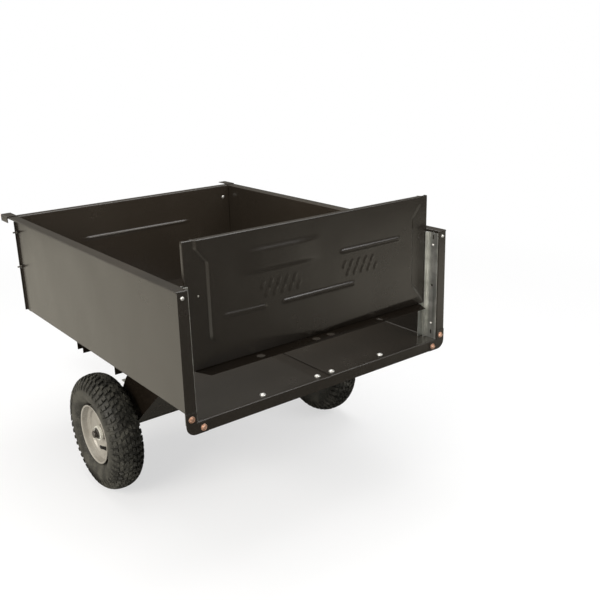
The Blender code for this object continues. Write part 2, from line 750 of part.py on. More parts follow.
def carrier_back_y(z):
    """World Y of the sloping back's rear face at a height."""
    top_y = REAR_Y + CARRIER_TOP_REAR
    foot_y, foot_z = carrier_foot()
    return top_y + (foot_y - top_y) * (CARRIER_TOP_Z - z) / (CARRIER_TOP_Z - foot_z)


def axle_carrier():
    """A leaning box of folded sheet: sloping back, top plate and two cheeks that hold the axle."""
    cheek = [(REAR_Y + CARRIER_TOP_REAR, CARRIER_TOP_Z), carrier_foot()]
    cheek += arc(AXLE_Y, AXLE_Z, CARRIER_CHEEK_RADIUS, 225, 360, 5)
    # The front edge leans back up to the top plate in three runs
    rise = CARRIER_TOP_Z - AXLE_Z
    for back, share in ((-0.016, 0.35), (0.003, 0.55), (0.040, 0.80)):
        cheek.append((AXLE_Y - back, AXLE_Z + share * rise))
    cheek.append((REAR_Y + CARRIER_TOP_FRONT, CARRIER_TOP_Z))
    verts = [(x, y, z) for x in (-CARRIER_HALF_WIDTH, CARRIER_HALF_WIDTH) for y, z in cheek]
    n = len(cheek)
    faces = [tuple(range(n)), tuple(range(n, 2 * n)), (0, n, n + 1, 1), (0, n - 1, 2 * n - 1, n)]
    beside = (-5.0, AXLE_Y, AXLE_Z)
    obj = sheet_object("axle_carrier", verts, faces, CARRIER_SHEET, dark_paint(), None, up=beside)
    drill(obj, [hole((side * CARRIER_HALF_WIDTH, AXLE_Y, AXLE_Z), 0, AXLE_RADIUS) for side in (-1, 1)])
    return obj


def hinge_stand(side):
    """The chassis half of the tipping hinge: two cheeks on a foot, on top of the carrier."""
    name = "left_hinge_stand" if side < 0 else "right_hinge_stand"
    base = CARRIER_TOP_Z + GAP
    inner = HINGE_EAR / 2 + LEG_PLAY
    outer = inner + BRACKET_SHEET
    reach = HINGE_EAR_REACH
    place = Matrix.Translation((side * HINGE_SPREAD, 0, 0))
    outline = [(HINGE_Y - reach, base), (HINGE_Y + reach, base)] + arc(HINGE_Y, HINGE_Z, reach, 0, 180, 6)
    block = prism_bm(outline, 0, -outer, outer)
    low = (-inner, HINGE_Y - 2 * reach, base + HINGE_STAND_FOOT)
    between = box_bm(low, (inner, HINGE_Y + 2 * reach, HINGE_Z + 2 * reach))
    for shape in (block, between):
        shape.transform(place)
    obj = add_object(name, block, dark_paint())
    cut(obj, add_cutter(name + "_between", between))
    drill(obj, [hole((side * HINGE_SPREAD, HINGE_Y, HINGE_Z), 0, HINGE_PIN_RADIUS)])
    return obj


def axle():
    reach = WHEEL_X + AXLE_END
    chamfer = AXLE_RADIUS * 0.15
    r = AXLE_RADIUS
    rings = [(-reach, r - chamfer, False), (-reach + chamfer, r, False), (reach - chamfer, r, False),
             (reach, r - chamfer, False)]
    bm = rings_bm(rings, 0, (0, AXLE_Y, AXLE_Z), SHAFT_STEPS)
    obj = add_object("axle", bm, zinc(), None, smooth=True)
    drill(obj, [hole((side * cotter_x(), AXLE_Y, AXLE_Z), 2, COTTER_RADIUS, 0.05) for side in (-1, 1)])
    return obj


def cotter_x():
    return WHEEL_X + COTTER_REACH


def shaft_bore(steps):
    """Radius of a ring's corners whose flats clear the shaft."""
    return (AXLE_RADIUS + GAP) / math.cos(math.pi / steps)


def axle_washer(side):
    name = "left_axle_washer" if side < 0 else "right_axle_washer"
    inner = shaft_bore(SHAFT_STEPS)
    start = side * (WHEEL_X + HUB_OUTER_REACH + GAP)
    end = start + side * WASHER_THICKNESS
    rings = [(start, inner, False), (start, WASHER_RADIUS, False), (end, WASHER_RADIUS, False), (end, inner, False)]
    bm = rings_bm(rings, 0, (0, AXLE_Y, AXLE_Z), SHAFT_STEPS, closed=True)
    return add_object(name, bm, zinc(), None, smooth=True)


def cotter_pin(side):
    """A pin through the axle with a swollen eye above it."""
    name = "left_cotter_pin" if side < 0 else "right_cotter_pin"
    r = COTTER_RADIUS
    eye = AXLE_RADIUS + 4 * GAP
    rings = [(-COTTER_LENGTH, r * 0.8, False), (eye, r, False), (eye + GAP, r * 1.9, False),
             (eye + 2 * r, r * 2.3, False), (eye + 4 * r, r * 1.5, False)]
    bm = rings_bm(rings, 2, (side * cotter_x(), AXLE_Y, AXLE_Z), BOLT_STEPS)
    return add_object(name, bm, zinc(), None, smooth=True)


def drawbar():
    """A square tube from the carrier's sloping back forward to the tongue; its front end is open."""
    half = DRAWBAR_SIZE / 2
    inner = half - DRAWBAR_WALL
    start = carrier_back_y(DRAWBAR_Z - half) + DRAWBAR_START_GAP
    tube = box_bm((-half, start, DRAWBAR_Z - half), (half, DRAWBAR_END_Y, DRAWBAR_TOP_Z))
    obj = add_object("drawbar", tube, dark_paint())
    hollow = box_bm((-inner, start + DRAWBAR_CLOSED_END, DRAWBAR_Z - inner),
                    (inner, DRAWBAR_END_Y + DRAWBAR_WALL, DRAWBAR_Z + inner))
    cut(obj, add_cutter("drawbar_hollow", hollow))
    return obj


def drawbar_saddle():
    """A channel on the axle that carries the drawbar: a seat and two cheeks with holes."""
    t = SADDLE_SHEET
    outer = DRAWBAR_SIZE / 2 + SADDLE_SIDE
    seat = DRAWBAR_Z - DRAWBAR_SIZE / 2 - GAP
    back = AXLE_Y - SADDLE_HALF_LENGTH
    front = AXLE_Y + SADDLE_HALF_LENGTH
    outline = [(back, seat - t), (back, seat), (front, seat), (front, seat - t)]
    outline += arc(AXLE_Y, AXLE_Z, SADDLE_EYE_RADIUS, 0, -180, 6)
    obj = add_object("drawbar_saddle", prism_bm(outline, 0, -outer, outer), dark_paint())
    low = AXLE_Z - 2 * SADDLE_EYE_RADIUS
    between = box_bm((t - outer, back - t, low), (outer - t, front + t, seat - t))
    cut(obj, add_cutter("drawbar_saddle_between", between))
    drill(obj, [hole((0, AXLE_Y, AXLE_Z), 0, AXLE_RADIUS, 3 * outer)])
    return obj


def drawbar_brace(side):
    """A flat bar from the carrier's cheek to the drawbar's side, which squares the chassis."""
    name = "left_drawbar_brace" if side < 0 else "right_drawbar_brace"
    t = BRACE_BAR
    inner = DRAWBAR_SIZE / 2 + GAP
    outer = CARRIER_HALF_WIDTH - CARRIER_SHEET - GAP
    foot = AXLE_Y - BRACE_BAR_FOOT / 4
    tip = AXLE_Y + BRACE_BAR_REACH
    outline = [(inner, tip - BRACE_BAR_FOOT), (inner, tip), (inner + t, tip), (inner + t, tip - BRACE_BAR_FOOT + t),
               (outer, foot + BRACE_BAR_FOOT / 2), (outer, foot), (outer - t, foot),
               (outer - t, foot + BRACE_BAR_FOOT / 2 - t)]
    outline = [(side * x, y) for x, y in outline]
    half = BRACE_BAR_HEIGHT / 2
    bm = prism_bm(outline, 2, DRAWBAR_Z - half, DRAWBAR_Z + half)
    return add_object(name, bm, dark_paint())


def tow_tongue():
    """A flat tongue with a round end and the tow hole, lying on the drawbar's front end."""
    half = TONGUE_WIDTH / 2
    tip = DRAWBAR_END_Y + TONGUE_LENGTH
    outline = [(-half, DRAWBAR_END_Y - TONGUE_OVERLAP)] + arc(0, tip - half, half, 180, 0, 12)
    outline.append((half, DRAWBAR_END_Y - TONGUE_OVERLAP))
    low = DRAWBAR_TOP_Z + GAP
    obj = add_object("tow_tongue", prism_bm(outline, 2, low, low + TONGUE_THICKNESS), dark_paint())
    drill(obj, [hole((0, tip - half, low), 2, TOW_HOLE_RADIUS - GAP, 4 * TONGUE_THICKNESS)])
    return obj


def latch_striker(parent):
    """A bent plate on the front wall whose shelf the latch hooks over."""
    back = FRONT_Y + SHEET + 2 * GAP
    front = back + STRIKER_SHELF
    low = FLOOR_Z + STRIKER_SHELF_UP
    top = FLOOR_Z + STRIKER_TOP
    t = STRIKER_SHEET
    outline = [(back, top), (back, low), (front, low), (front, low + t), (back + t, low + t), (back + t, top)]
    bm = prism_bm(outline, 0, -STRIKER_WIDTH / 2, STRIKER_WIDTH / 2)
    obj = add_object("latch_striker", bm, dark_paint(), parent)
    drill(obj, [hole(spot, 1, SMALL_BOLT_RADIUS) for spot in striker_bolt_spots(back)], parent)
    return obj


def latch_bracket():
    """Two cheeks on a foot, on top of the drawbar, that carry the latch lever's pin."""
    _, y, z = LATCH_PIVOT
    base = DRAWBAR_TOP_Z + GAP
    t = BRACKET_SHEET
    half = LATCH_BRACKET_HALF
    inner = LATCH_THICKNESS / 2 + LATCH_PLAY
    outline = [(y - half, base), (y + half, base)] + arc(y, z, LATCH_BRACKET_EYE, 0, 180, 6)
    obj = add_object("latch_bracket", prism_bm(outline, 0, -inner - t, inner + t), dark_paint())
    between = box_bm((-inner, y - 2 * half, base + t), (inner, y + 2 * half, z + 2 * LATCH_BRACKET_EYE))
    cut(obj, add_cutter("latch_bracket_between", between))
    drill(obj, [hole(LATCH_PIVOT, 0, SMALL_BOLT_RADIUS, 4 * inner + 4 * t)])
    return obj


def latch_lever(parent):
    """A flat bar: its pin at the foot, a nose that hooks over the striker, a pedal at the front."""
    _, y, z = LATCH_PIVOT
    # Drawn closed over the striker's shelf, then turned to the open rest place
    shelf_y = FRONT_Y + SHEET + 2 * GAP + STRIKER_SHELF
    shelf_z = FLOOR_Z + STRIKER_SHELF_UP + STRIKER_SHEET
    mouth_y = shelf_y + LATCH_HOOK_GAP + 0.001
    mouth_z = shelf_z + LATCH_HOOK_GAP
    outline = [(y - 0.010, z - 0.004), (y - 0.006, z - 0.011), (y + 0.006, z - 0.011), (y + 0.012, z - 0.002),
               (y + 0.070, z + 0.022), (y + 0.066, z + 0.032), (y + 0.010, z + 0.020),
               (mouth_y + 0.022, mouth_z + 0.001), (mouth_y + 0.014, mouth_z + 0.013),
               (shelf_y - LATCH_HOOK_REACH, mouth_z + 0.011), (shelf_y - LATCH_HOOK_REACH, mouth_z),
               (mouth_y, mouth_z), (mouth_y, mouth_z - 0.015)]
    bm = prism_bm(outline, 0, -LATCH_THICKNESS / 2, LATCH_THICKNESS / 2)
    pivot = Matrix.Translation(LATCH_PIVOT)
    bm.transform(pivot @ Matrix.Rotation(math.radians(-LATCH_OPEN_ANGLE), 4, "X") @ pivot.inverted())
    obj = add_object("latch_lever", bm, zinc(), parent)
    drill(obj, [hole(LATCH_PIVOT, 0, SMALL_BOLT_RADIUS, 4 * LATCH_THICKNESS)], parent)
    return obj


def leg_bracket():
    """Two cheeks under the drawbar between which the leg swings, and the web it leans on."""
    _, y, z = LEG_PIVOT
    top = DRAWBAR_Z - DRAWBAR_SIZE / 2 - GAP
    inner = LEG_SIZE / 2 + LEG_PLAY
    t = BRACKET_SHEET
    lean = math.radians(LEG_LEAN)
    low = z - LEG_STOP_BELOW_PIN
    web = y + LEG_SIZE / 2 / math.cos(lean) + LEG_STOP_BELOW_PIN * math.tan(lean) + GAP
    front = web + t
    rear = y - LEG_SIZE / 2 - BRACKET_MARGIN
    outline = [(rear, top), (front, top), (front, low), (y, low), (rear, z)]
    obj = add_object("leg_bracket", prism_bm(outline, 0, -inner - t, inner + t), dark_paint())
    between = box_bm((-inner, rear - t, low - t), (inner, web, top - t))
    cut(obj, add_cutter("leg_bracket_between", between))
    drill(obj, [hole(LEG_PIVOT, 0, BOLT_RADIUS, 4 * inner)])
    return obj


def parking_leg(parent):
    """A square leg on a pin, leaning a little forward, with a flat foot on the ground."""
    _, y, z = LEG_PIVOT
    half = LEG_SIZE / 2
    foot_y = y + math.tan(math.radians(LEG_LEAN)) * z
    outline = [(foot_y - half, FOOT_THICKNESS / 2), (foot_y + half, FOOT_THICKNESS / 2)]
    outline += arc(y, z, half, 0, 180, 6)
    obj = add_object("parking_leg", prism_bm(outline, 0, -half, half), zinc(), parent)
    foot = box_bm((-FOOT_WIDTH / 2, foot_y - FOOT_LENGTH / 2, 0.0),
                  (FOOT_WIDTH / 2, foot_y + FOOT_LENGTH / 2, FOOT_THICKNESS))
    cut(obj, add_cutter("parking_leg_foot", foot, parent), "UNION")
    drill(obj, [hole(LEG_PIVOT, 0, BOLT_RADIUS, 2 * LEG_SIZE)], parent)
    return obj


def cross_pin(name, centre, radius, half):
    """A headed pin along X with a retaining collar."""
    inner = half + GAP
    outer = inner + BRACKET_SHEET
    head = radius * 1.5
    rings = [(-outer, head, False), (-inner, head, False), (-inner, radius, False),
             (inner, radius, False), (inner, head, False), (outer, head, False)]
    return add_object(name, rings_bm(rings, 0, centre, BOLT_STEPS), zinc(), None, smooth=True)


# Wheels

def tyre_profile():
    """Open section of the tyre: out over the tread from bead to bead, then back inside."""
    r = TYRE_RADIUS
    w = TYRE_WIDTH / 2
    bead = RIM_RADIUS - RIM_LIP_HEIGHT + GAP
    seat = RIM_WIDTH / 2 - RIM_SHEET - GAP
    outside = [(-seat, bead), (-seat, RIM_RADIUS + 2 * GAP), (-w * 0.90, RIM_RADIUS + 0.010),
               (-w * 0.985, r - 0.048), (-w, r - 0.030), (-w * 0.86, r - 0.011), (-w * 0.50, r - 0.0015), (0.0, r)]
    inside = [(-seat + 0.008, bead), (-seat + 0.006, RIM_RADIUS + 0.004), (-w + 0.010, RIM_RADIUS + 0.018),
              (-w + 0.006, r - 0.034), (-w * 0.80, r - 0.018), (0.0, r - 0.011)]
    outside += [(-along, radius) for along, radius in reversed(outside[:-1])]
    inside += [(-along, radius) for along, radius in reversed(inside[:-1])]
    return outside + list(reversed(inside))


def rim_profile():
    """Section of the rim: lips, well and dished disc down to the hub."""
    t = RIM_SHEET
    lip = RIM_WIDTH / 2
    seat = RIM_RADIUS - RIM_LIP_HEIGHT
    hub = HUB_RADIUS + GAP / math.cos(math.pi / ROUND_STEPS)
    outside = [(-lip, RIM_RADIUS), (-lip + t, RIM_RADIUS), (-lip + t, seat), (lip - t, seat),
               (lip - t, RIM_RADIUS), (lip, RIM_RADIUS)]
    disc = [(lip, seat - t), (0.022, seat - t - 0.002), (0.012, seat - 0.016), (0.012, hub + 0.022),
            (0.007, hub + 0.006), (0.007, hub), (0.0045, hub), (0.0045, hub + 0.007), (0.0095, hub + 0.024),
            (0.0095, seat - 0.018), (0.016, seat - t - 0.002), (-lip, seat - t)]
    return outside + disc


def wheel(side, parent):
    prefix = "left" if side < 0 else "right"
    centre = (side * WHEEL_X, AXLE_Y, AXLE_Z)

    def turned(name, profile, material):
        rings = [(side * along, radius, False) for along, radius in profile]
        bm = rings_bm(rings, 0, centre, ROUND_STEPS, closed=True)
        return add_object(prefix + name, bm, material, parent, smooth=True)

    turned("_tyre", tyre_profile(), tyre_rubber())
    rim = turned("_rim", rim_profile(), silver_paint())
    valve = (side * (WHEEL_X + 0.011), AXLE_Y - VALVE_BACK, AXLE_Z - VALVE_DOWN)
    drill(rim, [hole(valve, 0, VALVE_RADIUS)], parent)
    bore = shaft_bore(ROUND_STEPS)
    start = CARRIER_HALF_WIDTH + 2 * GAP - WHEEL_X
    step = 0.0035
    bush = [(start, bore), (start, HUB_INNER_RADIUS), (step, HUB_INNER_RADIUS), (step, HUB_RADIUS),
            (HUB_OUTER_REACH, HUB_RADIUS), (HUB_OUTER_REACH, bore)]
    turned("_hub_bearing", bush, zinc())
    r = VALVE_RADIUS
    stem = [(-0.006, r, False), (0.016, r, False), (0.018, r * 0.7, False), (0.034, r * 0.7, False)]
    rings = [(side * along, radius, kind) for along, radius, kind in stem]
    bm = rings_bm(rings, 0, valve, BOLT_STEPS)
    add_object(prefix + "_valve_stem", bm, black_rubber(), parent, smooth=True)


# Bolts of the bed

def bed_bolts(parent):
    floor_stack = 2 * SHEET + 3 * GAP + BRACE_SHEET
    for k, spot in enumerate(floor_bolt_spots(FLOOR_Z)):
        # A bolt in the lowered strip sits a sheet lower than the others
        in_strip = SEAM_OFFSET - SEAM_STEP_WIDTH < spot[0] < SEAM_OFFSET
        drop = SHEET + GAP if in_strip else 0.0
        seat = (spot[0], spot[1], spot[2] - drop)
        bolt("floor_bolt_%d" % (k + 1), seat, 2, floor_stack - drop, -1, zinc(), parent)
    for side in (-1, 1):
        prefix = "left" if side < 0 else "right"
        post = (side_x(side, GUSSET_BOLT_OUT), REAR_Y, RIM_TOP_Z - POST_BOLT_DROP)
        bolt(prefix + "_post_bolt", post, 1, SHEET, 1, zinc(), parent)
        grip = 2 * SHEET + GAP
        places = gusset_bolt_spots(side, REAR_Y - GAP - SHEET)
        for label, spot in zip(("upper", "lower"), places):
            name = prefix + "_gusset_bolt_" + label
            bolt(name, spot, 1, grip, 1, copper_zinc(), parent, head="hex")
        places = front_bolt_spots(side * (HALF_WIDTH - GAP - SHEET))
        for label, spot in zip(("upper", "lower"), places):
            name = prefix + "_front_bolt_" + label
            bolt(name, spot, 0, grip, side, zinc(), parent, radius=SMALL_BOLT_RADIUS, tail=FRONT_BOLT_TAIL)


def build_side(side, bed):
    """The pieces that come in a left and a right copy."""
    prefix = "left" if side < 0 else "right"
    for make in (bed_half, rear_gusset, front_cap, gate_channel, hinge_ear):
        make(side, bed)
    for make in (hinge_stand, cotter_pin, axle_washer, drawbar_brace):
        make(side)
    half = HINGE_EAR / 2 + LEG_PLAY + BRACKET_SHEET
    cross_pin(prefix + "_hinge_pin", (side * HINGE_SPREAD, HINGE_Y, HINGE_Z), HINGE_PIN_RADIUS, half)
    wheel(side, pivot_empty(prefix + "_wheel_axis", (side * WHEEL_X, AXLE_Y, AXLE_Z)))


def build():
    clear_scene()
    bed = pivot_empty("bed_hinge_axis", (0, HINGE_Y, HINGE_Z))
    for side in (-1, 1):
        build_side(side, bed)
    front_panel(bed)
    rear_holes = [hole(spot, 2, BOLT_RADIUS) for spot in floor_bolt_spots(BRACE_TOP_Z)]
    floor_brace("rear_floor_brace", REAR_BRACE_FROM_REAR, HALF_WIDTH - REAR_BRACE_END_GAP, bed, rear_holes)
    floor_brace("middle_floor_brace", MIDDLE_BRACE_FROM_REAR, HALF_WIDTH - BRACE_END_GAP, bed)
    floor_brace("front_floor_brace", FRONT_BRACE_FROM_REAR, HALF_WIDTH - BRACE_END_GAP, bed)
    latch_striker(bed)
    bed_bolts(bed)
    tailgate(pivot_empty("gate_slide_axis", (0, GATE_Y, GATE_BOTTOM_Z), bed))
    for make in (axle_carrier, axle, drawbar, drawbar_saddle, tow_tongue, latch_bracket, leg_bracket):
        make()
    cross_pin("latch_pin", LATCH_PIVOT, SMALL_BOLT_RADIUS, LATCH_THICKNESS / 2 + LATCH_PLAY + BRACKET_SHEET)
    cross_pin("leg_pin", LEG_PIVOT, BOLT_RADIUS, LEG_SIZE / 2 + LEG_PLAY + BRACKET_SHEET)
    latch_lever(pivot_empty("latch_axis", LATCH_PIVOT))
    parking_leg(pivot_empty("leg_axis", LEG_PIVOT))


build()
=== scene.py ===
import json
import math

import bmesh
import bpy
import numpy as np
from mathutils import Matrix, Vector

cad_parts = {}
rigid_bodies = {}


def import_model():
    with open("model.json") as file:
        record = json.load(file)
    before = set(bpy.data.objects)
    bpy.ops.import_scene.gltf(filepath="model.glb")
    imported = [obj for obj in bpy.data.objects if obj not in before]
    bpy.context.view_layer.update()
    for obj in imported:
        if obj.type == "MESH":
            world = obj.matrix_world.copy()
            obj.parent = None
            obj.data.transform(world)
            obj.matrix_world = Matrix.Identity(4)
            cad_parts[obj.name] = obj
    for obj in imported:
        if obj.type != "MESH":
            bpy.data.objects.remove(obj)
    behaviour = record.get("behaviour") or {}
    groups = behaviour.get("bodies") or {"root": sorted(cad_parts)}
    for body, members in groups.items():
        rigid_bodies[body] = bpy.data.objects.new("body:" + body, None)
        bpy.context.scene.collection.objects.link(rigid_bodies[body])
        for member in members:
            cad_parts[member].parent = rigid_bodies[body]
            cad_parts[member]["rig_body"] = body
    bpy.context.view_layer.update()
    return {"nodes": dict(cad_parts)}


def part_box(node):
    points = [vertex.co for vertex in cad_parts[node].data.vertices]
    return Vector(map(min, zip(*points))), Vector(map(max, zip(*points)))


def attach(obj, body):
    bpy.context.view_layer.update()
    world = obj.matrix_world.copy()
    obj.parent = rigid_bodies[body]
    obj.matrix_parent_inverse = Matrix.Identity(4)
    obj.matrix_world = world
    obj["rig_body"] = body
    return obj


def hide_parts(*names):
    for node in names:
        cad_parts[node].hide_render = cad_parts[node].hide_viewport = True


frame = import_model()

# Places and sizes of the trailer in metres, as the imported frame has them

SIDES = (("left", -1), ("right", 1))
HALF_WIDTH = 0.381
REAR_Y = -0.74475
FRONT_Y = 0.27125
FLOOR_Z = 0.392
RIM_TOP_Z = 0.697
FLANGE = 0.029
RIM_LIP = 0.004
SHEET = 0.0015
SEAM_X = 0.005
SEAM_STRIP = 0.040
SEAM_DROP = 0.0018
SEAM_LAP = 0.035
SIDE_OVERRUN = 0.028
FRONT_EDGE_LIP = 0.008
FRONT_EDGE_DROP = 0.0197
GATE_Y = -0.70515
GATE_LOW = 0.4922
GATE_HIGH = 0.789
FLOOR_BOLTS = (-0.190, -0.024, 0.022, 0.189)
FLOOR_BOLT_Y = -0.72425
HINGE = (-0.45875, 0.3765)
HINGE_X = 0.236
LATCH_PIN = (0.34525, 0.268)
LEG_PIN = (0.38525, 0.165)
DRAWBAR_TOP = 0.238
DRAWBAR_WELD_X = 0.0228
AXLE_Y = -0.22175
AXLE_Z = 0.165
WHEEL_X = 0.380
TYRE_RADIUS = 0.165


# Node trees

class Wire:
    """A node's output. Sums and products with it add their own Math nodes."""

    def __init__(self, tree, socket):
        self.tree = tree
        self.socket = socket


def operator(operation, turned_round):
    def apply(wire, other):
        return wire.tree.math(operation, *((other, wire) if turned_round else (wire, other)))
    return apply


for sign, word in (("add", "ADD"), ("sub", "SUBTRACT"), ("mul", "MULTIPLY"), ("truediv", "DIVIDE")):
    setattr(Wire, f"__{sign}__", operator(word, False))
    setattr(Wire, f"__r{sign}__", operator(word, True))


class Tree:
    """A node tree that is filled one node at a time."""

    def __init__(self, nodes_of):
        self.tree = nodes_of

    def node(self, kind, *values, output=0, settings=None, **named):
        """Adds a node. Values go to its inputs in order; None leaves one as it is."""
        made = self.tree.nodes.new(kind)
        for key, value in (settings or {}).items():
            setattr(made, key, value)
        for key, value in [*enumerate(values), *named.items()]:
            if value is not None:
                socket = made.inputs[key if isinstance(key, int) else key.replace("_", " ")]
                self.join(socket, value)
        return Wire(self, made.outputs[output])

    def join(self, socket, value):
        if isinstance(value, Wire):
            self.tree.links.new(value.socket, socket)
        else:
            socket.default_value = value

    def geo(self, kind, *values, **named):
        return self.node("GeometryNode" + kind, *values, **named)

    def math(self, operation, *values):
        return self.node("ShaderNodeMath", *values, settings={"operation": operation})

    def step(self, value, low, high, at_low=0.0, at_high=1.0):
        """at_low below low, at_high above high, smooth between."""
        return self.node("ShaderNodeMapRange", value, low, high, at_low, at_high,
                         settings={"interpolation_type": "SMOOTHSTEP"})

    def measure(self, operation, *vectors):
        """A length or a distance."""
        return self.node("ShaderNodeVectorMath", *vectors, output="Value",
                         settings={"operation": operation})

    def parts(self, vector):
        """The X, Y and Z of a vector."""
        made = self.node("ShaderNodeSeparateXYZ", vector).socket.node
        return [Wire(self, output) for output in made.outputs]

    def vector(self, x=0.0, y=0.0, z=0.0):
        return self.node("ShaderNodeCombineXYZ", x, y, z)

    def colour(self, *channels):
        return self.node("ShaderNodeCombineColor", *channels)

    def rays(self, kind):
        """1 for rays of one kind, 0 for all others."""
        return self.node("ShaderNodeLightPath", output=f"Is {kind} Ray")


class Finish(Tree):
    """A material; its fixed values are set on the shader's own sockets."""

    def __init__(self, name, slot, **fixed):
        self.material = bpy.data.materials.new(name)
        self.material.use_nodes = True
        super().__init__(self.material.node_tree)
        self.slot = slot
        self.shader = self.tree.nodes["Principled BSDF"]
        for key, value in fixed.items():
            self.shader.inputs[key.replace("_", " ")].default_value = value
        self.place = self.node("ShaderNodeTexCoord", output="Object")

    def noise(self, scale, detail=3.0, rough=0.5, stretch=None):
        """Noise over the object's own coordinates, about 0 to 1."""
        place = self.place
        if stretch:
            place = self.node("ShaderNodeMapping", Vector=place, Scale=stretch)
        return self.node("ShaderNodeTexNoise", Vector=place, Scale=scale, Detail=detail,
                         Roughness=rough, output="Fac", settings={"normalize": True})

    def patches(self, scale, detail, rough, low, high):
        """Noise made into soft-edged patches."""
        return self.step(self.noise(scale, detail, rough), low, high)

    def blend(self, mask, *colours):
        """A colour between two, each a wire or (red, green, blue)."""
        pair = [tint if isinstance(tint, Wire) else (*tint, 1.0) for tint in colours]
        return self.node("ShaderNodeMix", mask, *[None] * 5, *pair, output=2,
                         settings={"data_type": "RGBA"})

    def height(self, value, depth, before=None):
        return self.node("ShaderNodeBump", Height=value, Distance=depth, Normal=before)

    def feed(self, colour, roughness, normal):
        varying = {"Base Color": colour, "Roughness": roughness, "Normal": normal}
        for key, value in varying.items():
            self.join(self.shader.inputs[key], value)
        return self


# Finishes

FINE_GRAIN = 0.00008


def powder_coat(name="powder_coat", base=(0.0168, 0.0132, 0.0095), dust=0.4, shine=0.68):
    """Brown-black powder coat: orange peel, slow waves of the sheet, a little dust."""
    paint = Finish(name, "dark_paint", IOR=1.5, Specular_IOR_Level=shine)
    cloud = paint.noise(3.2, 4.0, 0.55)
    speck = paint.patches(420.0, 2.0, 0.6, 0.66, 0.80)
    dusty = paint.patches(9.0, 5.0, 0.62, 0.48, 0.78) * dust
    light = [1.30 * value + 0.004 for value in base]
    dark = [0.88 * value for value in base]
    colour = paint.blend(paint.step(cloud, 0.35, 0.68), dark, base)
    colour = paint.blend(dusty * 0.45 + speck * 0.22, colour, light)
    waves = paint.height(paint.noise(7.0, 1.0, 0.4), 0.0022)
    peel = paint.height(paint.noise(700.0, 1.5, 0.5), FINE_GRAIN, waves)
    return paint.feed(colour, 0.21 + 0.08 * cloud + 0.08 * dusty, peel)


def zinc_plate():
    """Bright zinc plating: cloudy grey, drawn lines, small dull spots."""
    metal = Finish("bright_zinc", "zinc", Metallic=0.92)
    cloud = metal.noise(28.0, 5.0, 0.6)
    lines = metal.noise(1.0, 3.0, 0.6, (310.0, 310.0, 5.0))
    spots = metal.patches(160.0, 3.0, 0.6, 0.62, 0.74)
    colour = metal.blend(metal.step(cloud, 0.30, 0.72), (0.58, 0.59, 0.57), (0.92, 0.93, 0.90))
    colour = metal.blend(spots * 0.30, colour, (0.30, 0.29, 0.27))
    colour = metal.blend(metal.step(lines, 0.50, 0.66) * 0.75, colour, (0.33, 0.34, 0.32))
    return metal.feed(colour, 0.24 + 0.16 * cloud + 0.08 * lines, metal.height(lines, 0.00020))


def plated(name, slot, dark, bright, metallic=0.85):
    """Plated small parts, worn in patches."""
    metal = Finish(name, slot, Metallic=metallic)
    worn = metal.noise(190.0, 4.0, 0.6)
    colour = metal.blend(metal.step(worn, 0.35, 0.65), dark, bright)
    return metal.feed(colour, 0.28 + 0.18 * worn, metal.height(metal.noise(700.0, 2.0), FINE_GRAIN))


def wheel_silver():
    """Silver wheel enamel: metal flake, small chips, a little road dust."""
    enamel = Finish("wheel_silver", "silver_paint", Metallic=0.35, IOR=1.5)
    flake = enamel.patches(1600.0, 1.0, 0.5, 0.35, 0.65)
    dust = enamel.patches(22.0, 5.0, 0.65, 0.42, 0.75)
    chips = enamel.patches(260.0, 3.0, 0.6, 0.64, 0.72)
    colour = enamel.blend(flake, (0.305, 0.288, 0.255), (0.44, 0.418, 0.375))
    colour = enamel.blend(dust * 0.45, colour, (0.25, 0.225, 0.18))
    colour = enamel.blend(chips * 0.6, colour, (0.58, 0.56, 0.50))
    bump = enamel.height(enamel.noise(500.0, 2.0), FINE_GRAIN)
    return enamel.feed(colour, 0.42 + 0.16 * dust, bump)


def tyre_rubber():
    """Tread rubber: dull black with pale dust, finely grained, with pale speckles painted as
    glints.
    """
    tread = Finish("tyre_rubber", "tyre_rubber", IOR=1.45)
    grain = tread.noise(240.0, 4.0, 0.65)
    dust = tread.patches(21.0, 6.0, 0.70, 0.42, 0.66)
    colour = tread.blend(dust, (0.0125, 0.012, 0.0095), (0.066, 0.063, 0.050))
    # Pale speckles where the grain is high: painted glints on the tread.
    colour = tread.blend(tread.step(grain, 0.52, 0.70) * 0.5, colour, (0.120, 0.116, 0.096))
    return tread.feed(colour, 0.58 + 0.20 * dust, tread.height(grain, 0.00035))


def grained(name, slot, index, scale, detail, rough, dark, light, least, depth):
    """One grain for the colour, the roughness and the height."""
    plastic = Finish(name, slot, IOR=index)
    grain = plastic.noise(scale, detail, rough)
    colour = plastic.blend(grain, dark, light)
    return plastic.feed(colour, least + 0.2 * grain, plastic.height(grain, depth))


coat = powder_coat()
# A darker, duller copy of the powder coat: painted shade on the parts under the bed and on the
# tailgate's lip.
shaded_coat = powder_coat("powder_coat_underside", (0.0105, 0.0078, 0.0054), 0.6, 0.10)
zinc = zinc_plate()
white_zinc = plated("white_zinc_bolts", "zinc", (0.62, 0.62, 0.60), (0.86, 0.86, 0.84))
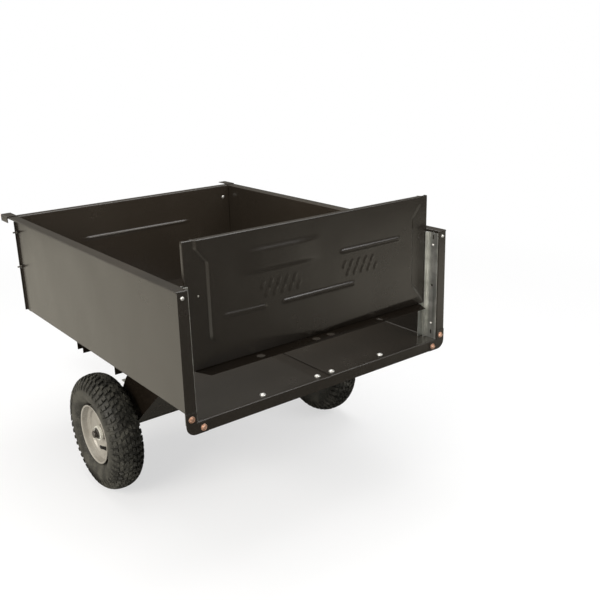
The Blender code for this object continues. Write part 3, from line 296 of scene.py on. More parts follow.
# Black plating for bolts, axle and washers; on the right tailgate rivets the same finish is painted
# shade.
dark_zinc_and_shade = plated("black_bolts", "zinc", (0.045, 0.042, 0.038), (0.13, 0.12, 0.11))
copper = plated("copper_zinc_bolts", "copper_zinc", (0.59, 0.31, 0.20), (0.95, 0.64, 0.49))
race_steel = plated("bearing_race", "zinc", (0.66, 0.65, 0.58), (0.84, 0.83, 0.76), 0.25)
steel = plated("bearing_steel", "zinc", (0.42, 0.41, 0.38), (0.66, 0.65, 0.61))
silver = wheel_silver()
rubber = tyre_rubber()
moulded = grained("moulded_rubber", "black_rubber", 1.45, 800.0, 2.0, 0.5,
                  (0.010, 0.010, 0.010), (0.026, 0.025, 0.024), 0.45, 0.0001)
weld = grained("painted_weld", "dark_paint", 1.5, 260.0, 3.0, 0.6,
               (0.030, 0.026, 0.022), (0.070, 0.060, 0.050), 0.42, 0.0005)


# Making and placing meshes

SAME_POINT = 2e-6
SAME_PLANE = math.radians(1.0)
LEAST_FOLD = math.radians(12)


def settle(obj, finish, body, *nodes):
    """Gives a piece its material, its body and the CAD nodes that it stands for."""
    obj.data.materials.clear()
    obj.data.materials.append(finish.material)
    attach(obj, body)
    if nodes:
        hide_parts(*nodes)
    return obj


def new_object(name, data):
    obj = bpy.data.objects.new(name, data)
    bpy.context.scene.collection.objects.link(obj)
    return obj


def change(obj, name, kind, **settings):
    """Puts a modifier on the object."""
    modifier = obj.modifiers.new(name, kind)
    for key, value in settings.items():
        setattr(modifier, key, value)


def round_edges(obj, width, segments, over):
    """Rounds edges whose faces meet at more than the given angle."""
    change(obj, "edges", "BEVEL", width=width, segments=segments, limit_method="ANGLE",
           angle_limit=math.radians(over))


def thicken(obj, thickness, even):
    """Gives a skin its sheet's thickness, behind the seen side."""
    change(obj, "thickness", "SOLIDIFY", thickness=thickness, offset=-1, use_even_offset=even)


def changed_mesh(obj):
    """The object's mesh as its modifiers leave it."""
    bpy.context.view_layer.update()
    source = obj.evaluated_get(bpy.context.evaluated_depsgraph_get())
    return bpy.data.meshes.new_from_object(source)


def smooth(mesh, under):
    """Smooth, but sharp where faces meet at more than the given angle."""
    mesh.shade_smooth()
    mesh.set_sharp_from_angle(angle=math.radians(under))


def plain(obj, name, smooth_under=35):
    """The object with its modifiers applied, as one plain mesh."""
    mesh = changed_mesh(obj)
    old = obj.data
    bpy.data.objects.remove(obj)
    if old.users == 0 and isinstance(old, bpy.types.Mesh):
        bpy.data.meshes.remove(old)
    mesh.name = name
    smooth(mesh, smooth_under)
    return new_object(name, mesh)


def from_bmesh(bm, name, smooth_under=35):
    mesh = bpy.data.meshes.new(name)
    bm.to_mesh(mesh)
    bm.free()
    smooth(mesh, smooth_under)
    return new_object(name, mesh)


def keep_flats(obj):
    """Large flat faces keep an even shade beside their rounded edges."""
    change(obj, "flat_faces", "WEIGHTED_NORMAL", keep_sharp=True)
    mesh = changed_mesh(obj)
    old, name = obj.data, obj.data.name
    obj.modifiers.clear()
    obj.data = mesh
    bpy.data.meshes.remove(old)
    mesh.name = name
    return obj


def outward(bm, toward=None):
    """Turns all faces outward, or the first one toward a given side."""
    bmesh.ops.recalc_face_normals(bm, faces=bm.faces)
    bm.faces.ensure_lookup_table()
    if toward and bm.faces[0].normal.dot(Vector(toward)) < 0:
        bmesh.ops.reverse_faces(bm, faces=bm.faces)


def refined(node, finish, width, segments=2, smooth_under=35, reshape=None):
    """A CAD piece again, with its faces whole, its edges rounded and its finish on."""
    bm = bmesh.new()
    bm.from_mesh(frame["nodes"][node].data)
    if reshape:
        for vert in bm.verts:
            vert.co = reshape(vert.co)
    bmesh.ops.remove_doubles(bm, verts=bm.verts, dist=SAME_POINT)
    bmesh.ops.dissolve_limit(bm, angle_limit=SAME_PLANE, verts=bm.verts, edges=bm.edges)
    obj = from_bmesh(bm, node + "_body")
    round_edges(obj, width, segments, 40)
    obj = keep_flats(plain(obj, node + "_rounded", smooth_under))
    return settle(obj, finish, frame["nodes"][node]["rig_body"], node)


def folded_sheet(name, corners, faces, toward, thickness=SHEET, bend=0.0028):
    """Flat faces joined at rounded bends, the first one's seen side toward a given side."""
    bm = bmesh.new()
    verts = [bm.verts.new(corner) for corner in corners]
    for face in faces:
        bm.faces.new([verts[index] for index in face])
    outward(bm, toward)
    folds = [edge for edge in bm.edges
             if len(edge.link_faces) == 2 and edge.calc_face_angle(0) > LEAST_FOLD]
    bmesh.ops.bevel(bm, geom=folds, offset=bend, offset_type="OFFSET", segments=4, profile=0.5,
                    affect="EDGES", clamp_overlap=True)
    obj = from_bmesh(bm, name + "_skin")
    thicken(obj, thickness, True)
    round_edges(obj, thickness * 0.22, 2, 60)
    return keep_flats(plain(obj, name, 40))


def circle(radius, steps):
    """The points of a circle, as pairs."""
    angles = [2 * math.pi * k / steps for k in range(steps)]
    return [(radius * math.cos(a), radius * math.sin(a)) for a in angles]


def bridge(bm, first, second):
    """Faces between two rings of as many points."""
    for k in range(len(first)):
        n = (k + 1) % len(first)
        bm.faces.new((first[k], first[n], second[n], second[k]))


def turned(name, profile, centre, side, steps):
    """A closed section of (distance out, radius) in mm, turned about the wheel's axis."""
    bm = bmesh.new()
    rings = []
    for along, radius in np.array(profile) / 1000:
        x = centre[0] + side * along
        spots = [(x, centre[1] + y, centre[2] + z) for y, z in circle(radius, steps)]
        rings.append([bm.verts.new(spot) for spot in spots])
    for first, second in zip(rings, rings[1:] + rings[:1]):
        bridge(bm, first, second)
    outward(bm)
    return from_bmesh(bm, name, 30)


def spun(profile, steps):
    """(radius, height) points that start and end on the axis, turned about Z."""
    bm = bmesh.new()
    rings = []
    for radius, height in profile:
        spots = circle(radius, steps) if radius > 0 else [(0, 0)]
        rings.append([bm.verts.new((x, y, height)) for x, y in spots])
    for first, second in zip(rings, rings[1:]):
        if len(first) == len(second):
            bridge(bm, first, second)
            continue
        tip, ring = (first[0], second) if len(first) == 1 else (second[0], first)
        for k in range(steps):
            bm.faces.new((tip, ring[k], ring[(k + 1) % steps]))
    outward(bm)
    return bm


def merged(*parts):
    """Several shapes in one mesh."""
    whole = bmesh.new()
    for part in parts:
        scratch = bpy.data.meshes.new("scratch")
        part.to_mesh(scratch)
        part.free()
        whole.from_mesh(scratch)
        bpy.data.meshes.remove(scratch)
    return whole


# Pressed panels

def ease(low, high, value):
    t = np.clip((value - low) / (high - low), 0.0, 1.0)
    return t * t * (3.0 - 2.0 * t)


def line_distance(x, z, start, end):
    """Distance to a straight line between two points."""
    (ax, az), (bx, bz) = start, end
    dx, dz = bx - ax, bz - az
    t = np.clip(((x - ax) * dx + (z - az) * dz) / (dx * dx + dz * dz), 0, 1)
    return np.hypot(x - ax - t * dx, z - az - t * dz)


def outline_distance(x, z, corners):
    """Distance to a closed outline, below 0 inside it."""
    best = np.full(x.shape, 1e9)
    inside = np.zeros(x.shape, bool)
    for start, end in zip(corners, corners[1:] + corners[:1]):
        best = np.minimum(best, line_distance(x, z, start, end))
        (ax, az), (bx, bz) = start, end
        if bz != az:
            inside ^= ((az > z) != (bz > z)) & (x < ax + (z - az) / (bz - az) * (bx - ax))
    return np.where(inside, -best, best)


def bead(x, z, start, end, half, height):
    """A pressed bead with round ends, from one point to another."""
    return height * (1 - ease(0.15 * half, half, line_distance(x, z, start, end)))


def slots(x, z, rows, height, lean=0.5, half=0.0040):
    """Short leaning slots; a row is (first x, z, count, spacing, length)."""
    total = np.zeros(x.shape)
    for first, level, count, spacing, length in rows:
        along, up = 0.5 * length * math.sin(lean), 0.5 * length * math.cos(lean)
        for middle in (first + k * spacing for k in range(count)):
            ends = (middle - along, level - up), (middle + along, level + up)
            total = np.maximum(total, bead(x, z, *ends, half, height))
    return total


def pressed_panel(name, half_width, low, high, plane, relief, fold, bend, thickness, cell):
    """A sheet with pressed relief whose edge is folded forward all round.

    relief(x, z) is how far forward of the plane the sheet lies, and fold(x, z) how deep its edge
    is folded. cell is the size of the net.
    """
    low, high = low + bend, high - bend
    rows = int(round((high - low) / cell))
    columns = int(round(2 * half_width / cell))
    x, z = np.meshgrid(np.linspace(-1, 1, columns + 1) * (half_width - bend),
                       np.linspace(low, high, rows + 1))
    points = np.stack([x, plane + relief(x, z), z], -1).reshape(-1, 3)
    index = np.arange(x.size).reshape(x.shape)
    quads = np.stack([index[:-1, :-1], index[:-1, 1:], index[1:, 1:], index[1:, :-1]], -1)
    loop = np.concatenate([index[0, :-1], index[:-1, -1], index[-1, :0:-1], index[:0:-1, 0]])
    edge = points[loop]
    along = np.roll(edge, -1, 0) - np.roll(edge, 1, 0)
    out = np.stack([along[:, 2], np.zeros(len(loop)), -along[:, 0]], -1)
    out /= np.linalg.norm(out, axis=1, keepdims=True)
    deep = np.maximum(fold(edge[:, 0], edge[:, 2]), bend)
    verts, faces = [points], [quads.reshape(-1, 4)]
    previous, count = loop, index.size
    turns = [(math.sin(a), bend * (1 - math.cos(a))) for a in (0.45, 0.9, 1.25, math.pi / 2)]
    for sideways, forward in turns + [(1.0, deep)]:
        ring = edge + out * bend * sideways
        ring[:, 1] += forward
        verts.append(ring)
        now = np.arange(count, count + len(loop))
        count += len(loop)
        faces.append(np.stack([previous, now, np.roll(now, -1), np.roll(previous, -1)], -1))
        previous = now
    mesh = bpy.data.meshes.new(name + "_skin")
    mesh.from_pydata(np.concatenate(verts).tolist(), [], np.concatenate(faces).tolist())
    bm = bmesh.new()
    bm.from_mesh(mesh)
    outward(bm, (0, -1, 0))
    bpy.data.meshes.remove(mesh)
    obj = from_bmesh(bm, name + "_skin", 60)
    thicken(obj, thickness, False)
    return plain(obj, name, 50)


# The bed

SEAM_CREASE = 0.0012
SEAM_FOOT = 0.0013
SEAM_GAP = 0.0003
LAP_SETBACK = 0.0021


def side_sheet(prefix, side):
    """One bed half, bent from one sheet: rim, wall, half the floor, post flange, sill."""
    outer, wall = side * (HALF_WIDTH + FLANGE), side * HALF_WIDTH
    lip_z, lap_z = RIM_TOP_Z - RIM_LIP, FLOOR_Z - SEAM_DROP
    lap_y, front = REAR_Y + LAP_SETBACK, FRONT_Y + SIDE_OVERRUN
    profile = [(outer, lip_z), (outer, RIM_TOP_Z), (wall, RIM_TOP_Z), (wall, FLOOR_Z)]
    if side > 0:
        profile += [(SEAM_X, FLOOR_Z)]
    else:
        strip = SEAM_X - SEAM_STRIP
        slope = SEAM_DROP / (SEAM_STRIP - SEAM_FOOT)
        profile += [(strip - SEAM_CREASE, FLOOR_Z), (strip, FLOOR_Z),
                    (strip + SEAM_CREASE, FLOOR_Z - SEAM_CREASE * slope),
                    (SEAM_X - SEAM_FOOT, lap_z), (SEAM_X - SEAM_GAP, lap_z),
                    (SEAM_X + SEAM_LAP, lap_z)]
    corners = []
    for x, z in profile:
        lapped = side < 0 and x > SEAM_X
        corners += [(x, lap_y if lapped else REAR_Y, z), (x, FRONT_Y, z)]
    faces = [(2 * k, 2 * k + 1, 2 * k + 3, 2 * k + 2) for k in range(len(profile) - 1)]
    tops = list(range(6, 2 * len(profile), 2))
    if side < 0:
        notch = len(corners)
        corners.append((SEAM_X - SEAM_GAP, lap_y, lap_z))
        faces[-2] = faces[-2][:3] + (notch,) + faces[-2][3:]
        faces[-1] = (notch,) + faces[-1][1:]
        tops.pop()
    k = len(corners)
    lip_x = side * (HALF_WIDTH + FRONT_EDGE_LIP)
    lip_top = RIM_TOP_Z - FRONT_EDGE_DROP
    corners += [(outer, front, lip_z), (outer, front, RIM_TOP_Z), (wall, front, RIM_TOP_Z),
                (wall, front, FLOOR_Z), (lip_x, front, lip_top), (lip_x, front, FLOOR_Z),
                (wall, front, lip_top), (outer, REAR_Y, FLOOR_Z)]
    faces += [(1, k, k + 1, 3), (3, k + 1, k + 2, 5), (5, k + 2, k + 6, k + 3, 7),
              (k + 6, k + 4, k + 5, k + 3), (2, 0, k + 7, 6, 4)]
    sill = len(corners)
    corners += [(corners[top][0], REAR_Y, FLOOR_Z - FLANGE) for top in tops]
    faces += [(tops[n], tops[n + 1], sill + n + 1, sill + n) for n in range(len(tops) - 1)]
    obj = folded_sheet(prefix + "_side_and_floor", corners, faces, (side, 0, 0))
    settle(obj, coat, "bed", prefix + "_bed_half")


def front_cap(prefix, side):
    """The bent cap over the rim's front corner."""
    low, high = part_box(prefix + "_front_cap")
    outer, inner = (low.x, high.x) if side < 0 else (high.x, low.x)
    corners = [(inner, low.y, high.z), (outer, low.y, high.z), (outer, high.y, high.z),
               (inner, high.y, high.z), (outer, low.y, low.z), (outer, high.y, low.z)]
    obj = folded_sheet(prefix + "_front_corner_cap", corners, [(0, 1, 2, 3), (1, 4, 5, 2)],
                       (0, 0, 1), 0.002, 0.0035)
    settle(obj, coat, "bed", prefix + "_front_cap")


WALL_GAP = 0.0003
WALL_FOLD = 0.024
WALL_SLOTS = ((-0.290, 0.548, 4, 0.021, 0.012), (-0.150, 0.548, 4, 0.021, 0.012))


def front_wall():
    """A pressed panel with one long bead and two plain groups of slots."""

    def relief(x, z):
        ends = ease(-0.195, -0.150, x) * (1 - ease(0.180, 0.225, x))
        shape = -ends * bead(x, z, (-0.190, 0.592), (0.220, 0.592), 0.0058, 0.0036)
        return shape - slots(x, z, WALL_SLOTS, 0.0014)

    obj = pressed_panel("front_wall", HALF_WIDTH - WALL_GAP, FLOOR_Z - SHEET, RIM_TOP_Z,
                        FRONT_Y + WALL_GAP, relief, lambda x, z: np.full(x.shape, WALL_FOLD),
                        bend=0.0022, thickness=SHEET, cell=0.0034)
    settle(obj, coat, "bed", "front_panel")


# The tailgate

GATE_HALF_WIDTH = 0.3710
GATE_SHIFT = 0.0045
GATE_RELIEF = 0.0060
GATE_CREASE_Z = 0.4935
GATE_HALF_FIELD = [(0.3640, 0.470), (0.3640, 0.500), (0.3178, 0.556), (0.3178, 0.735),
                   (0.3460, 0.768), (0.3460, 0.810)]
GATE_FIELD = GATE_HALF_FIELD + [(-x, z) for x, z in reversed(GATE_HALF_FIELD)]
GATE_BLOCK = [(-0.260, 0.684), (0.030, 0.684), (0.030, 0.748), (-0.260, 0.748)]
GATE_BEADS = (((-0.275, 0.606), (-0.1695, 0.604), 0.0024),
              ((-0.1115, 0.604), (0.1025, 0.603), 0.0030),
              ((0.0685, 0.691), (0.2585, 0.691), 0.0028))
GATE_BEAD_HALF = 0.0072
GATE_SLOTS = ((-0.172, 0.656, 5, 0.023, 0.013), (-0.160, 0.635, 5, 0.023, 0.013),
              (0.075, 0.656, 5, 0.023, 0.013), (0.087, 0.635, 5, 0.023, 0.013))


def gate_relief(x, z):
    """A raised field with a waist and folded foot corners, a low block, beads and slots."""
    crease = 0.503 + np.where(x < 0, 0.145, 0.035) * np.abs(x)
    slope = 0.007 + 0.021 * ease(0.566, 0.545, z) * (x < 0)
    field = 1 - ease(-slope, 0.0, outline_distance(x, z, GATE_FIELD))
    field = field * np.clip((z - GATE_CREASE_Z) / (crease - GATE_CREASE_Z), 0, 1)
    ends = ease(-0.245, -0.165, x) * (1 - ease(-0.075, 0.010, x))
    block = ends * 0.0030 * (1 - ease(-0.013, 0.001, outline_distance(x, z, GATE_BLOCK)))
    shape = field * GATE_RELIEF + block
    for start, end, height in GATE_BEADS:
        shape = shape + bead(x, z, start, end, GATE_BEAD_HALF, height)
    return -(shape + slots(x, z, GATE_SLOTS, 0.0018))


def gate_fold(x, z):
    """The tailgate's edge: deepest at the top, less at the sides, least at the foot."""
    top = ease(GATE_HIGH - 0.012, GATE_HIGH - 0.004, z) * ease(-0.350, -0.345, -np.abs(x))
    side = ease(GATE_HALF_WIDTH - 0.010, GATE_HALF_WIDTH - 0.006, np.abs(x))
    return 0.003 + 0.011 * top + 0.0058 * side * ease(0.494, 0.498, z) * (1 - top)


def tailgate():
    """The lifted tailgate: a pressed panel with two rivets near each side."""
    obj = pressed_panel("tailgate_panel", GATE_HALF_WIDTH, GATE_LOW, GATE_HIGH, GATE_Y, gate_relief,
                        gate_fold, bend=0.0020, thickness=0.0013, cell=0.0027)
    obj.data.transform(Matrix.Translation((GATE_SHIFT, 0, 0)))
    settle(obj, coat, "tailgate", "tailgate")
    for name, radius, shank, finish, spots in (
            ("left_gate_rivets", 2.2, 1.2, steel, ((-0.3345, 0.6635), (-0.3600, 0.519))),
            # The right rivets take the black finish as painted shade; the left ones are plain
            # steel.
            ("right_gate_rivets", 3, 1.4, dark_zinc_and_shade, ((0.3460, 0.6780), (0.3670, 0.519)))):
        bolt_row(name, dome_bolt(radius, 1, 6, shank),
                 [((x, GATE_Y, z), REARWARD) for x, z in spots], finish, "tailgate")


LIP_Z = 0.492
LIP_FRONT_Y = -0.7012
LIP_REAR_Y = -0.74425
LIP_LEG_TOP = 0.505
LIP_HOLE = 0.0105
LIP_HOLE_FIELD = 0.0165
LIP_HOLE_STEPS = 24


def gate_lip():
    """The lip folded back at the tailgate's foot, with a hole over each floor bolt's head."""
    field, steps = LIP_HOLE_FIELD, LIP_HOLE_STEPS
    corners, faces, grid = [], [], []
    for y in (LIP_FRONT_Y, FLOOR_BOLT_Y + field, FLOOR_BOLT_Y - field, LIP_REAR_Y):
        reach = 0.354 - 0.017 * max(0.0, GATE_Y - y) / 0.0391
        cuts = [-reach] + [x + side for x in FLOOR_BOLTS for side in (-field, field)] + [reach]
        grid.append(list(range(len(corners), len(corners) + len(cuts))))
        corners += [(x, y, LIP_Z) for x in cuts]
    for row in range(3):
        for column in range(len(grid[0]) - 1):
            square = (grid[row][column], grid[row][column + 1],
                      grid[row + 1][column + 1], grid[row + 1][column])
            if row != 1 or column % 2 == 0:
                faces.append(square)
                continue
            middle = FLOOR_BOLTS[column // 2]
            first = len(corners)
            for k in range(steps):
                angle = math.radians(135) - 2 * math.pi * k / steps
                corners.append((middle + LIP_HOLE * math.cos(angle),
                                FLOOR_BOLT_Y + LIP_HOLE * math.sin(angle), LIP_Z))
            for quarter in range(4):
                ring = [first + (steps // 4 * quarter + k) % steps for k in range(steps // 4 + 1)]
                faces.append((square[quarter], square[(quarter + 1) % 4], *reversed(ring)))
    leg, front = len(corners), grid[0]
    corners += [(corners[k][0], LIP_FRONT_Y, LIP_LEG_TOP) for k in front]
    faces += [(front[k + 1], front[k], leg + k, leg + k + 1) for k in range(len(front) - 1)]
    obj = folded_sheet("tailgate_lip", corners, faces, (0, 0, 1), bend=0.002)
    # The lip takes the darker copy of the coat as painted shade; it is the same paint as the
    # tailgate.
    settle(obj, shaded_coat, "tailgate")


# Geometry Nodes groups

def new_rule(name, inputs, output):
    """A Geometry Nodes group: its tree, and a wire from each of its named inputs."""
    group = bpy.data.node_groups.new(name, "GeometryNodeTree")
    for key, kind in inputs.items():
        group.interface.new_socket(key, in_out="INPUT", socket_type="NodeSocket" + kind)
    group.interface.new_socket(output, in_out="OUTPUT", socket_type="NodeSocketGeometry")
    tree = Tree(group)
    given = group.nodes.new("NodeGroupInput")
    return tree, {socket.name: Wire(tree, socket) for socket in given.outputs if socket.name}


def end_rule(tree, shape, material):
    """Makes the copies real, gives them their material and ends the group."""
    solid = tree.geo("RealizeInstances", Geometry=shape)
    done = tree.geo("SetMaterial", Geometry=solid, Material=material)
    out = tree.tree.nodes.new("NodeGroupOutput")
    tree.join(out.inputs[0], done)
    return tree.tree


def copies(tree, points, obj, rotation):
    """One copy of an object's shape on each point."""
    shape = tree.geo("ObjectInfo", Object=obj, output="Geometry")
    return tree.geo("InstanceOnPoints", Points=points, Instance=shape, Rotation=rotation)


def grown(name, base, group, values, smooth_under=35):
    """Runs a Geometry Nodes group on an object and keeps its result as a plain mesh."""
    modifier = base.modifiers.new(name, "NODES")
    modifier.node_group = group
    for item in group.interface.items_tree:
        if item.name in values:
            modifier[item.identifier] = values[item.name]
    return plain(base, name, smooth_under)


# Fasteners in millimetres, set in rows by a Geometry Nodes group

UPWARD, REARWARD, FORWARD, RIGHTWARD = (0, 0, 1), (0, -1, 0), (0, 1, 0), (1, 0, 0)
WASHER = (-4.2, -3)
THREAD_PITCH = 1.25
BOLT_TURN = 0.9


def hexagon(radius, low, high, crown):
    """A hexagonal head or nut with a rounded crown, standing on Z."""
    bm = bmesh.new()
    rings = [[bm.verts.new((x, y, height)) for x, y in circle(wide, 6)]
             for wide, height in ((radius, low), (radius, high - crown), (radius * 0.90, high))]
    for first, second in zip(rings, rings[1:]):
        bridge(bm, first, second)
    bm.faces.new(rings[-1])
    bm.faces.new(list(reversed(rings[0])))
    return bm


def thread(radius, low, high):
    """A threaded end: crests and roots, closed with a small point."""
    count = max(2, int((high - low) / THREAD_PITCH))
    profile = [(0, low)]
    for k in range(count):
        base = low + (high - low) * k / count
        profile += [(radius * 0.86, base), (radius, base + 0.5 * (high - low) / count)]
    return spun(profile + [(radius * 0.80, high), (0, high)], 14)


def fixing(radius, nut, nut_low, length, shank):
    """What is under the sheet: a washer, a nut and the threaded end."""
    low, high = WASHER
    washer = spun([(0, low), (radius, low), (radius, high), (0, high)], 20)
    return washer, hexagon(nut, nut_low, low, 0), thread(shank, -length, high)


def dome_bolt(radius, height, length, shank):
    """A round-headed bolt at Z 0, with its washer, nut and threaded end below the sheet."""
    dome = [(radius * math.sin(a), height * math.cos(a)) for a in (0.35, 0.7, 1.05, 1.35)]
    head = spun([(0, height), *dome, (radius, 0.4), (radius, 0), (shank, 0), (0, -1)], 20)
    return merged(head, *fixing(radius, radius * 0.90, -9.2, length, shank))


def flange_bolt(radius, height, length, shank):
    """A hexagon-headed bolt on a pressed washer face, its crown dished."""
    collar = spun([(0, 0), (radius, 0), (radius, 0.9), (radius * 0.86, 1.6), (0, 1.6)], 22)
    crown = spun([(radius * share, height + rise) for share, rise in (
        (0, -0.6), (0.36, -0.6), (0.52, 0.2), (0.62, -0.3), (0.5, -1.8), (0, -1.8))], 18)
    return merged(collar, hexagon(radius * 0.80, 1.4, height, 1), crown,
                  *fixing(radius, radius * 0.88, -8.5, length, shank))


def through_pin(radius, half, head):
    """A pivot bolt through two cheeks: head on one end, nut and thread on the other."""
    shank = spun([(0, -half - 4), (radius * 0.8, -half - 4), (radius, -half - 3), (radius, half),
                  (0, half)], 18)
    return merged(shank, hexagon(head, half + 0.3, half + 5, 0.8),
                  hexagon(head, -half - 3, -half - 0.3, 0))


def bolt_rule():
    """Sets one bolt on every point, its head turned to the point's aim."""
    tree, take = new_rule("bolts_on_points", {"Points": "Geometry", "Bolt": "Object",
                                              "Turn": "Float", "Plating": "Material"}, "Bolts")
    aim = tree.geo("InputNamedAttribute", Name="aim", settings={"data_type": "FLOAT_VECTOR"})
    facing = tree.node("FunctionNodeAlignRotationToVector", Vector=aim, settings={"axis": "Z"})
    spin = tree.vector(z=tree.geo("InputIndex") * take["Turn"] + 0.3)
    own = tree.node("FunctionNodeEulerToRotation", spin)
    way = tree.node("FunctionNodeRotateRotation", facing, own, settings={"rotation_space": "LOCAL"})
    points = tree.geo("MeshToPoints", Mesh=take["Points"])
    return end_rule(tree, copies(tree, points, take["Bolt"], way), take["Plating"])


bolts_on_points = bolt_rule()


def bolt_row(name, shape, spots, finish, body, *nodes):
    """Bolts of one shape at several (place, aim) spots of one body."""
    pattern = from_bmesh(shape, name + "_pattern")
    pattern.data.transform(Matrix.Scale(0.001, 4))
    mesh = bpy.data.meshes.new(name + "_places")
    mesh.from_pydata([place for place, _ in spots], [], [])
    aims = mesh.attributes.new("aim", "FLOAT_VECTOR", "POINT")
    for k, (_, aim) in enumerate(spots):
        aims.data[k].vector = aim
    values = {"Bolt": pattern, "Turn": BOLT_TURN, "Plating": finish.material}
    obj = grown(name, new_object(name + "_places", mesh), bolts_on_points, values)
    bpy.data.objects.remove(pattern)
    return settle(obj, finish, body, *nodes)


def on_both(out, y, z, aim=REARWARD):
    """The same spot on the left and on the right, at a distance from the middle."""
    return [((side * out, y, z), aim) for _, side in SIDES]


def on_walls(out, y, heights):
    """Spots on the left wall and then on the right one, aimed at the middle."""
    return [((side * out, y, FLOOR_Z + z), (-side, 0, 0)) for _, side in SIDES for z in heights]


def both_names(*names):
    return [f"{prefix}_{name}" for prefix, _ in SIDES for name in names]


def bed_bolts():
    """The bed's bolts, in rows: name, shape, finish, spots and CAD nodes."""
    corner = [((side * (HALF_WIDTH + out), REAR_Y - 0.0018, FLOOR_Z + rise), REARWARD)
              for _, side in SIDES for out, rise in ((0.0145, 0.0105), (-0.0145, -0.0165))]
    striker = [((x, FRONT_Y + 0.0075, FLOOR_Z + 0.030), FORWARD) for x in (-0.026, 0.026)]
    ears = [((side * HINGE_X, HINGE[0] + y, FLOOR_Z), UPWARD)
            for _, side in SIDES for y in (-0.036, 0.036)]
    for name, shape, finish, spots, nodes in (
            ("floor_bolts", dome_bolt(8, 4.2, 16, 3), white_zinc,
             [((x, FLOOR_BOLT_Y, FLOOR_Z), UPWARD) for x in FLOOR_BOLTS],
             [f"floor_bolt_{k}" for k in (1, 2, 3, 4)]),
            ("post_bolts", dome_bolt(4.6, 3.2, 11, 2.2), white_zinc,
             on_both(HALF_WIDTH + 0.0145, REAR_Y, RIM_TOP_Z - 0.016), both_names("post_bolt")),
            ("corner_bolts", flange_bolt(8, 4.5, 12, 3), copper, corner,
             both_names("gusset_bolt_upper", "gusset_bolt_lower")),
            ("front_side_bolts", dome_bolt(6, 3, 20, 2.6), dark_zinc_and_shade,
             on_walls(HALF_WIDTH - 0.0021, FRONT_Y + 0.015, (0.254, 0.145)),
             both_names("front_bolt_upper", "front_bolt_lower")),
            ("guide_bolts", dome_bolt(4.2, 2.4, 10.5, 2), white_zinc,
             on_walls(HALF_WIDTH - 0.0018, REAR_Y + 0.019, (0.264, 0.043)), ()),
            ("front_wall_bolts", dome_bolt(5, 2.6, 15, 2.2), white_zinc,
             on_both(0.3565, FRONT_Y + WALL_GAP, 0.6566), ()),
            ("striker_bolts", flange_bolt(6.2, 4, 10, 2.4), white_zinc, striker, ()),
            ("hinge_bolts", dome_bolt(6, 2.6, 12, 2.6), dark_zinc_and_shade, ears, ())):
        bolt_row(name, shape, spots, finish, "bed", *nodes)


def chassis_pins():
    """The pivot bolts that stay with the chassis."""
    for name, shape, spots, nodes in (
            ("hinge_pins", through_pin(4.2, 5.9, 7.2), on_both(HINGE_X, *HINGE, RIGHTWARD),
             both_names("hinge_pin")),
            ("latch_pivot_bolt", through_pin(2.8, 8.3, 4.6),
             [((0, *LATCH_PIN), RIGHTWARD)], ["latch_pin"]),
            ("leg_pivot_bolt", through_pin(3.8, 15.9, 6.2),
             [((0, *LEG_PIN), RIGHTWARD)], ["leg_pin"])):
        bolt_row(name, shape, spots, zinc, "chassis", *nodes)


# Wheels

TREAD_DEPTH = 0.0064
TREAD_PITCHES = 47
CROWN_HALF_WIDTH = 0.0472
CROWN_DROP = 0.0395
CROWN_POWER = 2.3
SECTION_STEPS = 44

# One pitch of the tread on one side of the middle: each block's corners as (distance from the
# middle, share of a pitch), its extra shift and its share of the tread's depth
TREAD_BLOCKS = (
    (((0.0011, -0.42), (0.0104, -0.16), (0.0104, 0.44), (0.0011, 0.18)), 0.0, 1.0),
    (((0.0128, -0.20), (0.0220, 0.06), (0.0220, 0.66), (0.0128, 0.40)), 0.0, 0.97),
    (((0.0245, -0.46), (0.0330, -0.26), (0.0330, 0.30), (0.0245, 0.12)), 0.1, 0.93),
    (((0.0350, -0.24), (0.0424, -0.20), (0.0424, 0.34), (0.0350, 0.38)), 0.1, 0.85),
    (((0.0432, -0.22), (0.0458, -0.20), (0.0458, 0.20), (0.0432, 0.22)), 0.1, 0.7))

# Ring sections of a wheel in millimetres: (distance out from the wheel's middle, radius)
RIM_SKIN = (
    (-37, 83), (-36.2, 84.2), (-35, 84.2), (-34.2, 83.2), (-33.4, 80.8), (-31, 79.6), (31, 79.6),
    (33.4, 80.8), (34.2, 83.2), (35, 84.2), (36.2, 84.2), (37, 83), (36.7, 81.2), (35.4, 79.3),
    (32, 78.2), (23.5, 77.6), (20.5, 76.2), (19, 73.2), (18.2, 68.4), (16, 66.2), (13.2, 64.8),
    (11.6, 61.8), (11.2, 54), (11.2, 42), (10.3, 35), (9.8, 28.5), (9.9, 25), (10.6, 23.2),
    (10.7, 21.6), (5.8, 21.6), (5.6, 28.5), (7.2, 35.5), (9, 42.4), (9, 60.5), (10.4, 66.2),
    (15, 73), (18, 77.4), (-32, 78.2), (-35.4, 79.3), (-36.7, 81.2))
BEARING = (
    (-58.4, 10.4), (-58.4, 15), (-57.6, 15.8), (3.5, 15.8), (3.5, 19.9), (21.5, 19.9), (22, 19.4),
    (22, 14.6), (24, 14.6), (25.6, 14), (26, 13), (26, 11), (25.2, 10.4))
RACE = (
    (18, 16.6), (18, 20.6), (24.8, 20.6), (25.7, 20.4), (26, 19.9), (26, 17.6), (25.4, 16.6))
SEAL = (
    (22.1, 14.7), (24, 14.7), (24.3, 15.6), (24, 16.5), (22.1, 16.5))
VALVE_STEM = (
    (6, 0.1), (6, 6.4), (11.8, 7), (14, 6.9), (17, 5.8), (23, 5.4), (23.4, 4.5), (25, 4.5),
    (25.4, 5.5), (31, 5.4), (32.2, 4), (32.2, 0.1))
VALVE_PLACE = (-0.021, -0.046)
VALVE_FOOT = 0.0100
VALVE_LEAN = (-0.20, 0.75)

